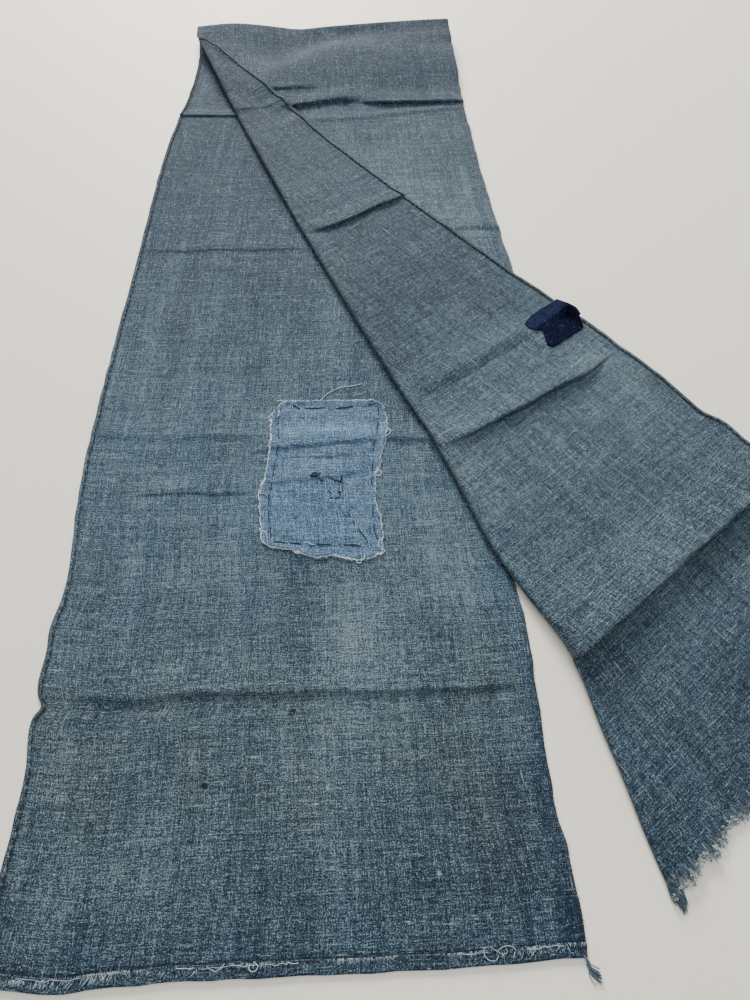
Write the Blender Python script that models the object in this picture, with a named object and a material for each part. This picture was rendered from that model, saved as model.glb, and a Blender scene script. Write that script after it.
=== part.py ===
"""Boro cloth: one long strip of hand-woven indigo cotton with a mending patch, lying folded.

The strip lies face up from its near hem to a soft fold at the far end, comes back over
itself face down, and its second half is turned over once more along a slanting fold, so
that a long triangular flap lies face up across it and out to the right.

Metres. Plan positions have x to the right and y away from the near hem, z is up, and the
underside of the cloth rests at z = 0. The parent empty moves the plan's middle to x = y = 0.
"""

import math

import bmesh
import bpy
import numpy as np
from mathutils import Vector

# The cloth, across (u, from the sewn hem) and along (v, from the near hem).
WIDTH = 0.340
THICKNESS = 0.0012
LAYER_GAP = 0.0012
NEAR_LENGTH = 1.100
FOLD_LENGTH = 0.024
UPPER_LENGTH = 1.080
HEM_ROLL = 0.0035
HEM_ROLL_RAMP = 0.0010
HEM_ROLL_EXTRA = 0.0010
HEM_FLAT_AT_FOLD = 0.030
HEM_FLAT_REACH = 0.060
END_HEM = 0.010
END_HEM_RAMP = 0.0012
END_HEM_EXTRA = 0.0010

# Where the layers lie in plan.
PLAN_CENTRE = (0.0940, 0.5640)
WEFT_TILT = 0.012
UPPER_START = (-0.242, 1.110)
UPPER_HEADING = math.radians(4.0)
TURN_START = 0.020
TURN_END = 1.094
TURN_ARC = 0.0085
TURN_BULGE = 0.0024
TURN_LIFT = 0.0030
TURN_LIFT_REACH = 0.035
TURN_LIFT_END = 0.080
FOLD_BULGE = 0.0045
LOOSE_AT_FOLD = 0.020

# How softly an upper layer comes down past the edge of the one below it, and how far it
# bridges on each side of a crease below.
DROP_MARGIN = 0.009
DROP_WIDTH = 0.030
BRIDGE = 0.014

# Share of half a crease's length over which it dies out at each end.
CREASE_END = 0.35

# The mesh's own steps. The columns nearest the hem, from it, narrow where the flap is
# narrower than HEM_COLUMNS_FULL. Between the two rows of COLUMN_CHANGE the columns change
# from even ones to those that follow the slanting fold.
ROW_STEP = 0.0290
LEAST_ROW_STEP = 0.0025
FAR_ROWS = (0.030, 0.075)
FAR_ROWS_SPREAD = 0.012
PATCH_ROWS_SPREAD = 0.008
FOLD_ROWS = 7
HEM_COLUMNS = (0.0, HEM_ROLL, HEM_ROLL + HEM_ROLL_RAMP, 0.012, 0.048)
HEM_COLUMNS_FULL = 0.090
FLAP_COLUMNS = 3
ARC_COLUMNS = 4
UNDER_COLUMNS = 6
LEAST_FLAP = 0.0030
COLUMN_CHANGE = (0.800, 1.080)
NORMAL_STEP = 0.0002

# Near hem in plan: u, y.
NEAR_HEM = (
    (0.000, 0.0115),
    (0.050, 0.0080),
    (0.080, 0.0105),
    (0.135, 0.0135),
    (0.226, 0.0175),
    (0.290, 0.0210),
    (0.340, 0.0265),
)

# Left and right edge of the near panel: y, x.
LEFT_EDGE = (
    (0.000, -0.2260),
    (0.120, -0.2260),
    (0.177, -0.2285),
    (0.190, -0.2255),
    (0.236, -0.2315),
    (0.341, -0.2380),
    (0.448, -0.2440),
    (0.657, -0.2370),
    (0.800, -0.2410),
    (0.872, -0.2460),
    (0.900, -0.2420),
    (0.922, -0.2350),
    (1.000, -0.2370),
    (1.110, -0.2420),
)
RIGHT_EDGE = (
    (0.000, 0.1215),
    (0.064, 0.1200),
    (0.116, 0.1130),
    (0.214, 0.1115),
    (0.274, 0.1040),
    (0.700, 0.1020),
    (1.110, 0.1030),
)

# The far fold, a section for each row: u, height of the rim, then the height of the
# valley behind it and of the ridge after that, each with its distance from the fold.
FAR_FOLD = (
    (0.000, 0.0150, 0.0110, 0.050, 0.0080, 0.100),
    (0.050, 0.0190, 0.0120, 0.055, 0.0085, 0.105),
    (0.100, 0.0150, 0.0070, 0.080, 0.0080, 0.125),
    (0.136, 0.0100, 0.0060, 0.055, 0.0095, 0.105),
    (0.180, 0.0155, 0.0085, 0.032, 0.0115, 0.080),
    (0.250, 0.0185, 0.0105, 0.030, 0.0130, 0.078),
    (0.340, 0.0220, 0.0135, 0.030, 0.0140, 0.072),
)
FAR_FOLD_REACH = 0.200

# Storage creases and ridges of the near panel: v, u from, u to, height, width towards
# the near hem, width away from it.
NEAR_CREASES = (
    (0.162, -0.010, 0.350, 0.0040, 0.012, 0.030),
    (0.338, 0.030, 0.160, 0.0025, 0.010, 0.020),
    (0.349, 0.150, 0.245, 0.0030, 0.009, 0.018),
    (0.384, 0.140, 0.310, 0.0032, 0.009, 0.022),
    (0.396, -0.010, 0.150, 0.0022, 0.014, 0.026),
    (0.645, -0.010, 0.190, 0.0024, 0.014, 0.020),
    (0.905, -0.010, 0.088, 0.0042, 0.008, 0.022),
)

# The same for the second layer and for the flap: t, their length from the far fold, u
# from, u to, height, width towards the far fold, width away from it.
SECOND_CREASES = (
    (0.128, 0.085, 0.135, 0.0025, 0.014, 0.006),
    (0.168, 0.105, 0.218, 0.0065, 0.030, 0.007),
    (0.176, 0.205, 0.352, 0.0070, 0.030, 0.007),
    (0.446, 0.270, 0.352, 0.0035, 0.014, 0.008),
)
FLAP_CREASES = (
    (0.186, -0.010, 0.060, 0.0030, 0.016, 0.008),
    (0.452, -0.010, 0.135, 0.0055, 0.022, 0.009),
    (0.693, 0.040, 0.200, 0.0060, 0.035, 0.035),
    (0.757, 0.040, 0.225, 0.0065, 0.022, 0.009),
    (0.940, -0.010, 0.330, 0.0115, 0.045, 0.010),
    (1.010, 0.080, 0.250, 0.0020, 0.030, 0.040),
)

# How far the turned edge and the flap's hem stray from straight lines: distance along,
# shift to the right or shift inwards. The whole second layer shifts with the turned edge
# between the distances of WHOLE_DRIFT.
TURN_DRIFT = (
    (0.020, 0.000),
    (0.163, 0.001),
    (0.449, 0.005),
    (0.649, 0.012),
    (0.744, 0.018),
    (0.868, 0.018),
    (0.930, 0.026),
    (0.949, 0.026),
    (0.983, 0.021),
    (1.040, 0.016),
    (1.097, 0.011),
)
WHOLE_DRIFT = (0.500, 0.800)
HEM_DRIFT = (
    (0.020, 0.000),
    (0.060, -0.002),
    (0.170, -0.013),
    (0.340, -0.003),
    (0.600, 0.000),
    (0.745, 0.001),
    (0.860, 0.002),
    (1.090, -0.006),
)

# Pale blue patch on the near panel: v, left u, right u.
PALE_PATCH = (
    (0.269, 0.1540, 0.2440),
    (0.281, 0.1470, 0.2450),
    (0.300, 0.1460, 0.2430),
    (0.333, 0.1460, 0.2400),
    (0.364, 0.1500, 0.2450),
    (0.386, 0.1520, 0.2480),
    (0.405, 0.1490, 0.2510),
    (0.418, 0.1520, 0.2480),
    (0.427, 0.1560, 0.2420),
)
PATCH_THICKNESS = 0.0010
PATCH_GAP = 0.0008

# Navy patch folded over the flap's hem: t, distance in from the hem of its upper end.
NAVY_PATCH = (
    (0.6790, 0.034),
    (0.6850, 0.047),
    (0.6940, 0.050),
    (0.7020, 0.054),
    (0.7120, 0.055),
    (0.7215, 0.052),
)
NAVY_UNDER = 0.008
NAVY_OVERHANG = 0.0050
NAVY_CROWN = 0.0075
NAVY_CROWN_REACH = 0.020
NAVY_TURN_STEPS = 8
NAVY_COLUMNS = (0.0, HEM_ROLL, HEM_ROLL + HEM_ROLL_RAMP, 0.008, 0.012, NAVY_CROWN_REACH)
NAVY_TOP_COLUMNS = 3
NAVY_LIFT = 0.0020
NAVY_LIFT_FLAT = 0.034
NAVY_LIFT_REACH = 0.070

# Frayed far end.
FRAY_PARTING = 0.0020
FRAY_STRIP = 0.0050
FRAY_TIP_CLEARANCE = 0.0200
STRANDS = 116
STRAND_LENGTH = (0.0040, 0.0090)
STRAND_TIP_WIDTH = 0.45
STRAND_TIP_HEIGHT = 0.60
STRAND_SPLAY = 0.16


def table(rows, column, at):
    """Column of a table read at the given places in its first column, straight between rows."""
    rows = np.asarray(rows)
    return np.interp(at, rows[:, 0], rows[:, column])


def ease(x):
    """Smooth step from 0 to 1 as x goes from 0 to 1."""
    x = np.clip(x, 0.0, 1.0)
    return x * x * (3.0 - 2.0 * x)


def bump(x):
    """1 at x = 0, falling smoothly to 0 at x = 1 and beyond."""
    return 1.0 - ease(np.abs(x))


def creases(rows, along, across, spread=0.0):
    """Height of all creases of a table: a ridge for each row, wider by the spread given."""
    height = np.zeros(np.broadcast(along, across).shape)
    for at, start, stop, rise, before, after in rows:
        offset = along - at
        short = bump(offset / (before + spread))
        profile = np.where(offset < 0.0, short, bump(offset / (after + spread)))
        middle = (start + stop) / 2.0
        half = (stop - start) / 2.0 + spread
        ends = ease((half - np.abs(across - middle)) / (CREASE_END * half))
        height = np.maximum(height, rise * profile * ends)
    return height


def near_plan(u, v):
    """Plan position of the near panel."""
    hem = table(NEAR_HEM, 1, u)
    far = NEAR_HEM[0][1] + WEFT_TILT * u + NEAR_LENGTH
    y = hem + (far - hem) * v / NEAR_LENGTH
    left = table(LEFT_EDGE, 1, y)
    right = table(RIGHT_EDGE, 1, y)
    return left + (right - left) * u / WIDTH, y


def near_height(u, v):
    """Middle of the near panel's thickness above the surface that it rests on."""
    return THICKNESS / 2.0 + creases(NEAR_CREASES, v, u)


def on_near_panel(x, y):
    """Height at which a layer on the near panel starts, bridging its creases."""
    v = y - NEAR_HEM[0][1] - WEFT_TILT * (x - LEFT_EDGE[0][1])
    u = np.clip(x - table(LEFT_EDGE, 1, y), 0.0, WIDTH)
    return creases(NEAR_CREASES, v, u, BRIDGE) + THICKNESS + LAYER_GAP


def far_rise(u, t):
    """How far the upper sheet stands above its resting height, t after the far fold."""
    rim, valley, valley_t, ridge, ridge_t = (table(FAR_FOLD, c, u) for c in range(1, 6))
    rise = rim + (valley - rim) * ease(t / valley_t)
    rise = rise + (ridge - valley) * ease((t - valley_t) / (ridge_t - valley_t))
    return rise - ridge * ease((t - ridge_t) / (FAR_FOLD_REACH - ridge_t))


def upper_plan(u, t):
    """Plan position of the upper sheet before it is turned over."""
    x = UPPER_START[0] + u * math.cos(UPPER_HEADING) + t * math.sin(UPPER_HEADING)
    y = UPPER_START[1] + u * math.sin(UPPER_HEADING) - t * math.cos(UPPER_HEADING)
    return x, y


def upper_place(x, y):
    """The reverse of upper_plan."""
    x = x - UPPER_START[0]
    y = y - UPPER_START[1]
    u = x * math.cos(UPPER_HEADING) + y * math.sin(UPPER_HEADING)
    return u, x * math.sin(UPPER_HEADING) - y * math.cos(UPPER_HEADING)


def panel_under(x, y):
    """1 above the near panel, falling to 0 to the right of it."""
    beyond = x - table(RIGHT_EDGE, 1, y) - DROP_MARGIN
    return 1.0 - ease(beyond / DROP_WIDTH)


def second_drift(t):
    """How far the whole second layer is shifted to the right."""
    whole = ease((t - WHOLE_DRIFT[0]) / (WHOLE_DRIFT[1] - WHOLE_DRIFT[0]))
    return whole * table(TURN_DRIFT, 1, t)


def second_height(u, t, spread=0.0):
    """Middle of the second layer's thickness, face down on the near panel or the surface."""
    x, y = upper_plan(u + second_drift(t), t)
    rise = far_rise(u, t) + creases(SECOND_CREASES, t, u, spread)
    return THICKNESS / 2.0 + panel_under(x, y) * on_near_panel(x, y) + rise


def turn_line():
    """Start and unit direction of the slanting fold, in the upper sheet's u and t."""
    length = math.hypot(WIDTH, TURN_END - TURN_START)
    return (0.0, TURN_START), (WIDTH / length, (TURN_END - TURN_START) / length)


def turn_u(t):
    """Where the slanting fold crosses the sheet at t."""
    return WIDTH * (t - TURN_START) / (TURN_END - TURN_START)


def flap_height(u, t, x, y):
    """Middle of the flap's thickness, face up on the second layer or the surface."""
    under_u, under_t = upper_place(x, y)
    under_u = under_u - second_drift(under_t)
    beyond = under_u - WIDTH - DROP_MARGIN
    covered = 1.0 - ease(beyond / DROP_WIDTH)
    under_z = second_height(np.clip(under_u, 0.0, WIDTH), under_t, BRIDGE)
    below = under_z + THICKNESS / 2.0 + LAYER_GAP
    from_patch = np.hypot(u, t - (NAVY_PATCH[0][0] + NAVY_PATCH[-1][0]) / 2.0)
    slope = (from_patch - NAVY_LIFT_FLAT) / (NAVY_LIFT_REACH - NAVY_LIFT_FLAT)
    rise = np.maximum(creases(FLAP_CREASES, t, u), NAVY_LIFT * (1.0 - ease(slope)))
    return THICKNESS / 2.0 + covered * below + rise


def upper_point(u, t):
    """Mid-surface of the upper sheet with its slanting turn: layer, half-round edge, flap."""
    start, along = turn_line()
    s = (u - start[0]) * along[0] + (t - start[1]) * along[1]
    q = -(u - start[0]) * along[1] + (t - start[1]) * along[0]
    phase = np.clip(q / TURN_ARC, 0.0, 1.0) * math.pi
    inward = np.maximum(q - TURN_ARC, 0.0)
    sideways = np.where(q <= 0.0, q, TURN_BULGE * np.sin(phase) - inward)
    fold_u = np.clip(turn_u(t), 1e-4, WIDTH - 1e-4)
    share = np.where(q <= 0.0, (u - fold_u) / (WIDTH - fold_u), (fold_u - u) / fold_u)
    share = np.clip(share, 0.0, 1.0)
    drift = table(TURN_DRIFT, 1, t)
    layer_drift = second_drift(t) + (drift - second_drift(t)) * (1.0 - share) ** 2
    edge_drift = np.where(q <= 0.0, layer_drift, drift * (1.0 - share))
    hem_in = np.where(q <= 0.0, 0.0, table(HEM_DRIFT, 1, t) * share)
    flat_u = start[0] + s * along[0] - sideways * along[1]
    flat_t = start[1] + s * along[1] + sideways * along[0]
    x, y = upper_plan(flat_u, flat_t)
    away = UPPER_HEADING + math.atan2(along[0], along[1])
    x = x + (edge_drift - hem_in) * math.cos(away)
    y = y + (edge_drift - hem_in) * math.sin(away)
    lower_z = second_height(u, t)
    tip = ease((TURN_END - TURN_START - s) / TURN_LIFT_END + 0.5)
    edge_lift = TURN_LIFT * bump(inward / TURN_LIFT_REACH) * tip
    upper_z = flap_height(u, t, x, y) + edge_lift
    z = lower_z + (upper_z - lower_z) * (1.0 - np.cos(phase)) / 2.0
    return x, y, z


def cloth_point(u, v):
    """Mid-surface of the whole strip: near panel, far fold, upper sheet."""
    u, v = np.broadcast_arrays(np.asarray(u, float), np.asarray(v, float))
    loose = LOOSE_AT_FOLD * u / WIDTH
    t = loose + (v - NEAR_LENGTH - FOLD_LENGTH) * (1.0 - loose / UPPER_LENGTH)
    t = np.maximum(t, loose)
    near_x, near_y = near_plan(u, np.minimum(v, NEAR_LENGTH))
    near_z = near_height(u, v)
    upper_x, upper_y, upper_z = upper_point(u, t)
    phase = np.clip((v - NEAR_LENGTH) / FOLD_LENGTH, 0.0, 1.0) * math.pi
    turned = (1.0 - np.cos(phase)) / 2.0
    x = near_x + (upper_x - near_x) * turned
    y = near_y + (upper_y - near_y) * turned + FOLD_BULGE * np.sin(phase)
    z = near_z + (upper_z - near_z) * turned
    return np.stack([x, y, z], axis=-1)


def cloth_normal(u, v):
    """Unit normal on the cloth's face side, from differences of the mid-surface."""
    across = cloth_point(u + NORMAL_STEP, v) - cloth_point(u - NORMAL_STEP, v)
    along = cloth_point(u, v + NORMAL_STEP) - cloth_point(u, v - NORMAL_STEP)
    normal = np.cross(across, along)
    return normal / np.linalg.norm(normal, axis=-1, keepdims=True)


def face_extra(u, v):
    """Extra thickness of the rolled long hem and of the turned near hem, on the face side."""
    roll = HEM_ROLL_EXTRA * (1.0 - ease((u - HEM_ROLL) / HEM_ROLL_RAMP))
    from_fold = np.abs(v - NEAR_LENGTH - FOLD_LENGTH / 2.0)
    roll = roll * ease((from_fold - HEM_FLAT_AT_FOLD) / HEM_FLAT_REACH)
    end = END_HEM_EXTRA * (1.0 - ease((v - END_HEM) / END_HEM_RAMP))
    return np.maximum(roll, end)


def spans(rows):
    """Where each crease of a table lies and how wide it is before and after that."""
    return [(row[0], row[4], row[5]) for row in rows]


def close_rows(places, spread):
    """The same for places that aren't creases but need close rows."""
    return [(place, spread, spread) for place in places]


def stations(start, stop, places):
    """Even steps from start to stop with closer ones across each of the places."""
    even = np.linspace(start, stop, 1 + round((stop - start) / ROW_STEP))
    close = []
    for at, before, after in places:
        close += [at - before, at - before / 2.0, at, at + after / 2.0, at + after]
    close = sorted(c for c in close if start + LEAST_ROW_STEP < c < stop - LEAST_ROW_STEP)
    kept = []
    for c in close:
        if not kept or c - kept[-1] > LEAST_ROW_STEP:
            kept.append(c)
    kept = np.array(kept)
    clear = [e for e in even[1:-1] if len(kept) == 0 or np.abs(kept - e).min() > 0.3 * ROW_STEP]
    return np.array(sorted([start, stop, *kept, *clear]))


def row_stations():
    """v of every row of the cloth's mesh."""
    hem = [0.0, END_HEM, END_HEM + END_HEM_RAMP]
    pale = close_rows((PALE_PATCH[0][0], PALE_PATCH[-1][0]), PATCH_ROWS_SPREAD)
    near = stations(hem[-1], NEAR_LENGTH, spans(NEAR_CREASES) + pale)
    fold = NEAR_LENGTH + FOLD_LENGTH * np.linspace(0.0, 1.0, FOLD_ROWS + 1)
    navy = close_rows((NAVY_PATCH[0][0], NAVY_PATCH[-1][0]), PATCH_ROWS_SPREAD)
    far = close_rows(FAR_ROWS, FAR_ROWS_SPREAD)
    folds = spans(SECOND_CREASES + FLAP_CREASES)
    upper = stations(0.0, UPPER_LENGTH, folds + far + navy)
    return np.concatenate([hem[:-1], near[:-1], fold[:-1], NEAR_LENGTH + FOLD_LENGTH + upper])


def column_stations(v):
    """u of every column at one row: hem, flap side, slanting turn, under side."""
    t = v - NEAR_LENGTH - FOLD_LENGTH
    reach = TURN_ARC * math.hypot(WIDTH, TURN_END - TURN_START) / (TURN_END - TURN_START)
    fold_u = turn_u(max(t, TURN_START))
    flap = min(max(fold_u - reach, LEAST_FLAP), WIDTH - reach - LEAST_FLAP)
    hem = np.array(HEM_COLUMNS) * min(1.0, flap / HEM_COLUMNS_FULL)
    inner = np.linspace(hem[-1], flap, FLAP_COLUMNS + 1)[1:]
    reach = max(min(reach, fold_u - flap), LEAST_FLAP)
    arc = flap + reach * np.linspace(0.0, 1.0, ARC_COLUMNS + 1)[1:]
    under = np.linspace(arc[-1], WIDTH, UNDER_COLUMNS + 1)[1:]
    slanted = np.concatenate([hem, inner, arc, under])
    even = np.linspace(HEM_COLUMNS[-1], WIDTH, len(slanted) - len(hem) + 1)[1:]
    plain = np.concatenate([HEM_COLUMNS, even])
    blend = float(ease((v - COLUMN_CHANGE[0]) / (COLUMN_CHANGE[1] - COLUMN_CHANGE[0])))
    return plain + (slanted - plain) * blend


def sheet_body(name, back, front):
    """One closed body between two grids of points, back and front, joined round their rim."""
    rows, columns = back.shape[:2]
    count = rows * columns
    index = np.arange(count).reshape(rows, columns)
    a, b = index[:-1, :-1], index[:-1, 1:]
    c, d = index[1:, 1:], index[1:, :-1]
    front_quads = np.stack([a, b, c, d], axis=-1).reshape(-1, 4) + count
    back_quads = np.stack([a, d, c, b], axis=-1).reshape(-1, 4)
    rim = np.concatenate([index[0, :-1], index[:-1, -1], index[-1, :0:-1], index[:0:-1, 0]])
    after = np.roll(rim, -1)
    rim_quads = np.stack([rim, after, after + count, rim + count], axis=-1)
    points = np.concatenate([back.reshape(-1, 3), front.reshape(-1, 3)])
    quads = np.concatenate([front_quads, back_quads, rim_quads])
    return body(name, points, quads.tolist())


def body(name, points, faces):
    """Mesh object from points and faces, smooth shaded, under the shared parent."""
    mesh = bpy.data.meshes.new(name)
    mesh.from_pydata(points.tolist(), [], faces)
    mesh.shade_smooth()
    mesh.update()
    thing = bpy.data.objects.new(name, mesh)
    bpy.context.scene.collection.objects.link(thing)
    return thing


def finish(thing, parent, colour, roughness):
    """Gives a body its own material and its parent."""
    material = bpy.data.materials.new(thing.name)
    material.use_nodes = True
    shader = material.node_tree.nodes["Principled BSDF"]
    shader.inputs["Base Color"].default_value = (*colour, 1.0)
    shader.inputs["Roughness"].default_value = roughness
    shader.inputs["Metallic"].default_value = 0.0
    thing.data.materials.append(material)
    thing.parent = parent


def folded_cloth():
    """The whole strip, folded, as one closed sheet."""
    v = row_stations()
    u = np.array([column_stations(row) for row in v])
    v = np.repeat(v[:, None], u.shape[1], axis=1)
    middle = cloth_point(u, v)
    normal = cloth_normal(u, v)
    front = middle + normal * (THICKNESS / 2.0 + face_extra(u, v))[..., None]
    back = middle - normal * (THICKNESS / 2.0)
    return sheet_body("folded_cloth", back, front)


def face_points(u, v):
    """Points on the cloth's face along one row of its mesh, level between its columns."""
    columns = column_stations(v)
    points = cloth_point(u, v)
    heights = cloth_point(columns, v)[:, 2] + THICKNESS / 2.0 + face_extra(columns, v)
    points[:, 2] = np.interp(u, columns, heights)
    return points


def rows_between(low, high):
    """The cloth's own rows from low to high, with both ends."""
    rows = row_stations()
    inner = rows[(rows > low + LEAST_ROW_STEP) & (rows < high - LEAST_ROW_STEP)]
    return np.concatenate([[low], inner, [high]])


def pale_patch():
    """Thin pale blue patch lying on the near panel, on the cloth's own rows and columns."""
    back = []
    columns = column_stations(PALE_PATCH[0][0])
    widest_left = max(row[1] for row in PALE_PATCH) + HEM_ROLL
    least_right = min(row[2] for row in PALE_PATCH) - HEM_ROLL
    inner = columns[(columns > widest_left) & (columns < least_right)]
    for v in rows_between(PALE_PATCH[0][0], PALE_PATCH[-1][0]):
        left, right = table(PALE_PATCH, 1, v), table(PALE_PATCH, 2, v)
        u = np.concatenate([[left], inner, [right]])
        u = np.sort(np.concatenate([u, (u[1:] + u[:-1]) / 2.0]))
        back.append(face_points(u, v))
    back = np.array(back) + np.array([0.0, 0.0, PATCH_GAP])
    front = back + np.array([0.0, 0.0, PATCH_THICKNESS])
    return sheet_body("pale_patch", back, front)


def navy_section(v, inner):
    """One section of the navy patch: tail under the hem, half ellipse round it, top side.

    The top side starts at the crown and comes down to the flap, whose height is read
    between the flap's own columns.
    """
    tail = NAVY_UNDER * np.array([1.0, 0.5, 0.0])
    angle = math.pi * np.arange(1, NAVY_TURN_STEPS) / NAVY_TURN_STEPS
    level = np.linspace(NAVY_CROWN_REACH, inner, NAVY_TOP_COLUMNS + 1)[1:]
    over = np.concatenate([NAVY_COLUMNS, level])
    inward = np.concatenate([tail, -NAVY_OVERHANG * np.sin(angle), over])
    half = PATCH_THICKNESS / 2.0
    rest = face_points(over, v)[:, 2] + PATCH_GAP + half
    crown = half + NAVY_CROWN
    top = np.maximum(rest, crown + (rest - crown) * ease(over / NAVY_CROWN_REACH))
    round_z = half + NAVY_CROWN * (1.0 - np.cos(angle)) / 2.0
    z = np.concatenate([np.full(len(tail), half), round_z, top])
    points = cloth_point(np.maximum(inward, 0.0), v)
    outward = points[0] - cloth_point(2.0 * NAVY_UNDER, v)
    outward = outward / np.hypot(outward[0], outward[1])
    points = points - np.minimum(inward, 0.0)[:, None] * outward
    points[:, 2] = z
    return points


def navy_patch():
    """Navy patch folded round the flap's hem, puffed up where it turns."""
    start = NEAR_LENGTH + FOLD_LENGTH
    rows = rows_between(start + NAVY_PATCH[0][0], start + NAVY_PATCH[-1][0])
    middle = np.array([navy_section(v, table(NAVY_PATCH, 1, v - start)) for v in rows])
    along = np.gradient(middle, axis=0)
    path = np.gradient(middle, axis=1)
    normal = np.cross(path, along)
    normal = normal / np.linalg.norm(normal, axis=-1, keepdims=True)
    inside = middle - PATCH_THICKNESS / 2.0 * normal
    outside = middle + PATCH_THICKNESS / 2.0 * normal
    inside[..., 2] = np.maximum(inside[..., 2], 0.0)
    outside[..., 2] = np.maximum(outside[..., 2], 0.0)
    return sheet_body("navy_patch", inside, outside)


def frayed_end():
    """Narrow strip parted from the cloth's far end, with loose warp strands along it."""
    rng = np.random.default_rng(7)
    u = np.linspace(0.0, WIDTH - FRAY_TIP_CLEARANCE, 2 * STRANDS + 2)
    start = NEAR_LENGTH + FOLD_LENGTH + UPPER_LENGTH + FRAY_PARTING
    back = cloth_point(u, np.array([[start], [start + FRAY_STRIP]]))
    back[..., 2] = 0.0
    strip = sheet_body("frayed_end", back, back + np.array([0.0, 0.0, THICKNESS]))
    weft = Vector(back[1, -1] - back[1, 0]).normalized()
    warp = Vector(back[1, 0] - back[0, 0]).normalized()
    edit = bmesh.new()
    edit.from_mesh(strip.data)
    edit.normal_update()
    outer = [face for face in edit.faces if face.normal.dot(warp) > 0.8]
    outer.sort(key=lambda face: face.calc_center_median().dot(weft))
    for face in bmesh.ops.extrude_discrete_faces(edit, faces=outer[1::2])["faces"]:
        centre = face.calc_center_median()
        reach = (warp + weft * rng.uniform(-STRAND_SPLAY, STRAND_SPLAY)).normalized()
        reach = reach * rng.uniform(*STRAND_LENGTH)
        for corner in face.verts:
            narrow = centre + (corner.co - centre) * STRAND_TIP_WIDTH + reach
            corner.co = (narrow.x, narrow.y, corner.co.z * STRAND_TIP_HEIGHT)
    edit.to_mesh(strip.data)
    edit.free()
    strip.data.shade_smooth()
    return strip


for old in list(bpy.data.objects):
    bpy.data.objects.remove(old)

lie = bpy.data.objects.new("boro_cloth", None)
bpy.context.scene.collection.objects.link(lie)
lie.location = (-PLAN_CENTRE[0], -PLAN_CENTRE[1], 0.0)
finish(folded_cloth(), lie, (0.086, 0.142, 0.188), 0.92)
finish(pale_patch(), lie, (0.145, 0.250, 0.400), 0.92)
finish(navy_patch(), lie, (0.012, 0.016, 0.060), 0.90)
finish(frayed_end(), lie, (0.110, 0.185, 0.260), 0.92)
bpy.context.view_layer.update()
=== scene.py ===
"""Looks of the boro cloth: a long strip of hand-woven indigo cotton with mending patches.

Each section makes one piece. Plan positions are x to the right and y away from the near
hem, less the plan's middle, so that the cloth lies in the frame where its solids do.
"""

import math

import bpy
import numpy as np
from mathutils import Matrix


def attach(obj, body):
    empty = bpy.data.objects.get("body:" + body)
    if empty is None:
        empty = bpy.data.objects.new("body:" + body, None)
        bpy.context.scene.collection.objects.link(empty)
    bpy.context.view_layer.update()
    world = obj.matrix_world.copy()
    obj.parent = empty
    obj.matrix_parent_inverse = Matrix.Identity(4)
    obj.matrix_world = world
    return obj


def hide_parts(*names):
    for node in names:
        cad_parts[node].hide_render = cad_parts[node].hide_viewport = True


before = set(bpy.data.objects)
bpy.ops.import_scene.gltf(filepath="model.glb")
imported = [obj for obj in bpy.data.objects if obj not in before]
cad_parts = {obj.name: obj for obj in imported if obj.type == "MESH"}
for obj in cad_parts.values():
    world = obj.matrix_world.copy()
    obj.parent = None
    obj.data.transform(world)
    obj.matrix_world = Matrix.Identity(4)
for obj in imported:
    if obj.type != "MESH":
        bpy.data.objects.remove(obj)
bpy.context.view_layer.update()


# The strip of cloth: plain weave of hand-spun indigo cotton, one loom width wide, with a
# rolled hem along one side and a turned hem at the near end. It lies face up to the far
# fold, comes back face down, and its end is turned out once more along a slant.

WIDTH = 0.340
THICKNESS = 0.0006
LAYER_GAP = 0.0012
NEAR_LENGTH = 1.100
FOLD_LENGTH = 0.024
UPPER_LENGTH = 1.080
STRIP_LENGTH = NEAR_LENGTH + FOLD_LENGTH + UPPER_LENGTH
UPPER_STARTS = NEAR_LENGTH + FOLD_LENGTH
SIDE_HEM = 0.0036
END_HEM = 0.0068
HEM_RISE = 0.0010
HEM_CORNER = 0.0065

PLAN_CENTRE = (0.0940, 0.5640)
WEFT_TILT = 0.012
UPPER_START = (-0.242, 1.110)
UPPER_HEADING = math.radians(4.0)
TURN_START = 0.020
TURN_END = 1.094
TURN_ARC = 0.0085
TURN_BULGE = 0.0024
TURN_LIFT = 0.0030
TURN_LIFT_REACH = 0.035
TURN_LIFT_END = 0.080
FOLD_BULGE = 0.0045
LOOSE_AT_FOLD = 0.020
DROP_MARGIN = 0.009
DROP_WIDTH = 0.030
BRIDGE = 0.014
CREASE_END = 0.35
CREASE_WAVER = (0.0012, 0.022)

# Near hem in plan: u across the cloth, y.
NEAR_HEM = (
    (0.000, 0.0115),
    (0.050, 0.0088),
    (0.080, 0.0120),
    (0.135, 0.0152),
    (0.226, 0.0190),
    (0.290, 0.0222),
    (0.340, 0.0265),
)

# Left and right edge of the near panel: y, x.
LEFT_EDGE = (
    (0.000, -0.2260),
    (0.136, -0.2262),
    (0.164, -0.2290),
    (0.171, -0.2255),
    (0.178, -0.2292),
    (0.213, -0.2322),
    (0.231, -0.2343),
    (0.246, -0.2314),
    (0.304, -0.2349),
    (0.341, -0.2392),
    (0.449, -0.2430),
    (0.674, -0.2450),
    (0.744, -0.2462),
    (0.864, -0.2445),
    (0.908, -0.2414),
    (0.955, -0.2370),
    (1.050, -0.2350),
    (1.110, -0.2420),
)
RIGHT_EDGE = (
    (0.000, 0.1215),
    (0.064, 0.1200),
    (0.116, 0.1130),
    (0.183, 0.1112),
    (0.214, 0.1100),
    (0.238, 0.1085),
    (0.266, 0.1040),
    (0.700, 0.1020),
    (1.110, 0.1030),
)

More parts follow.
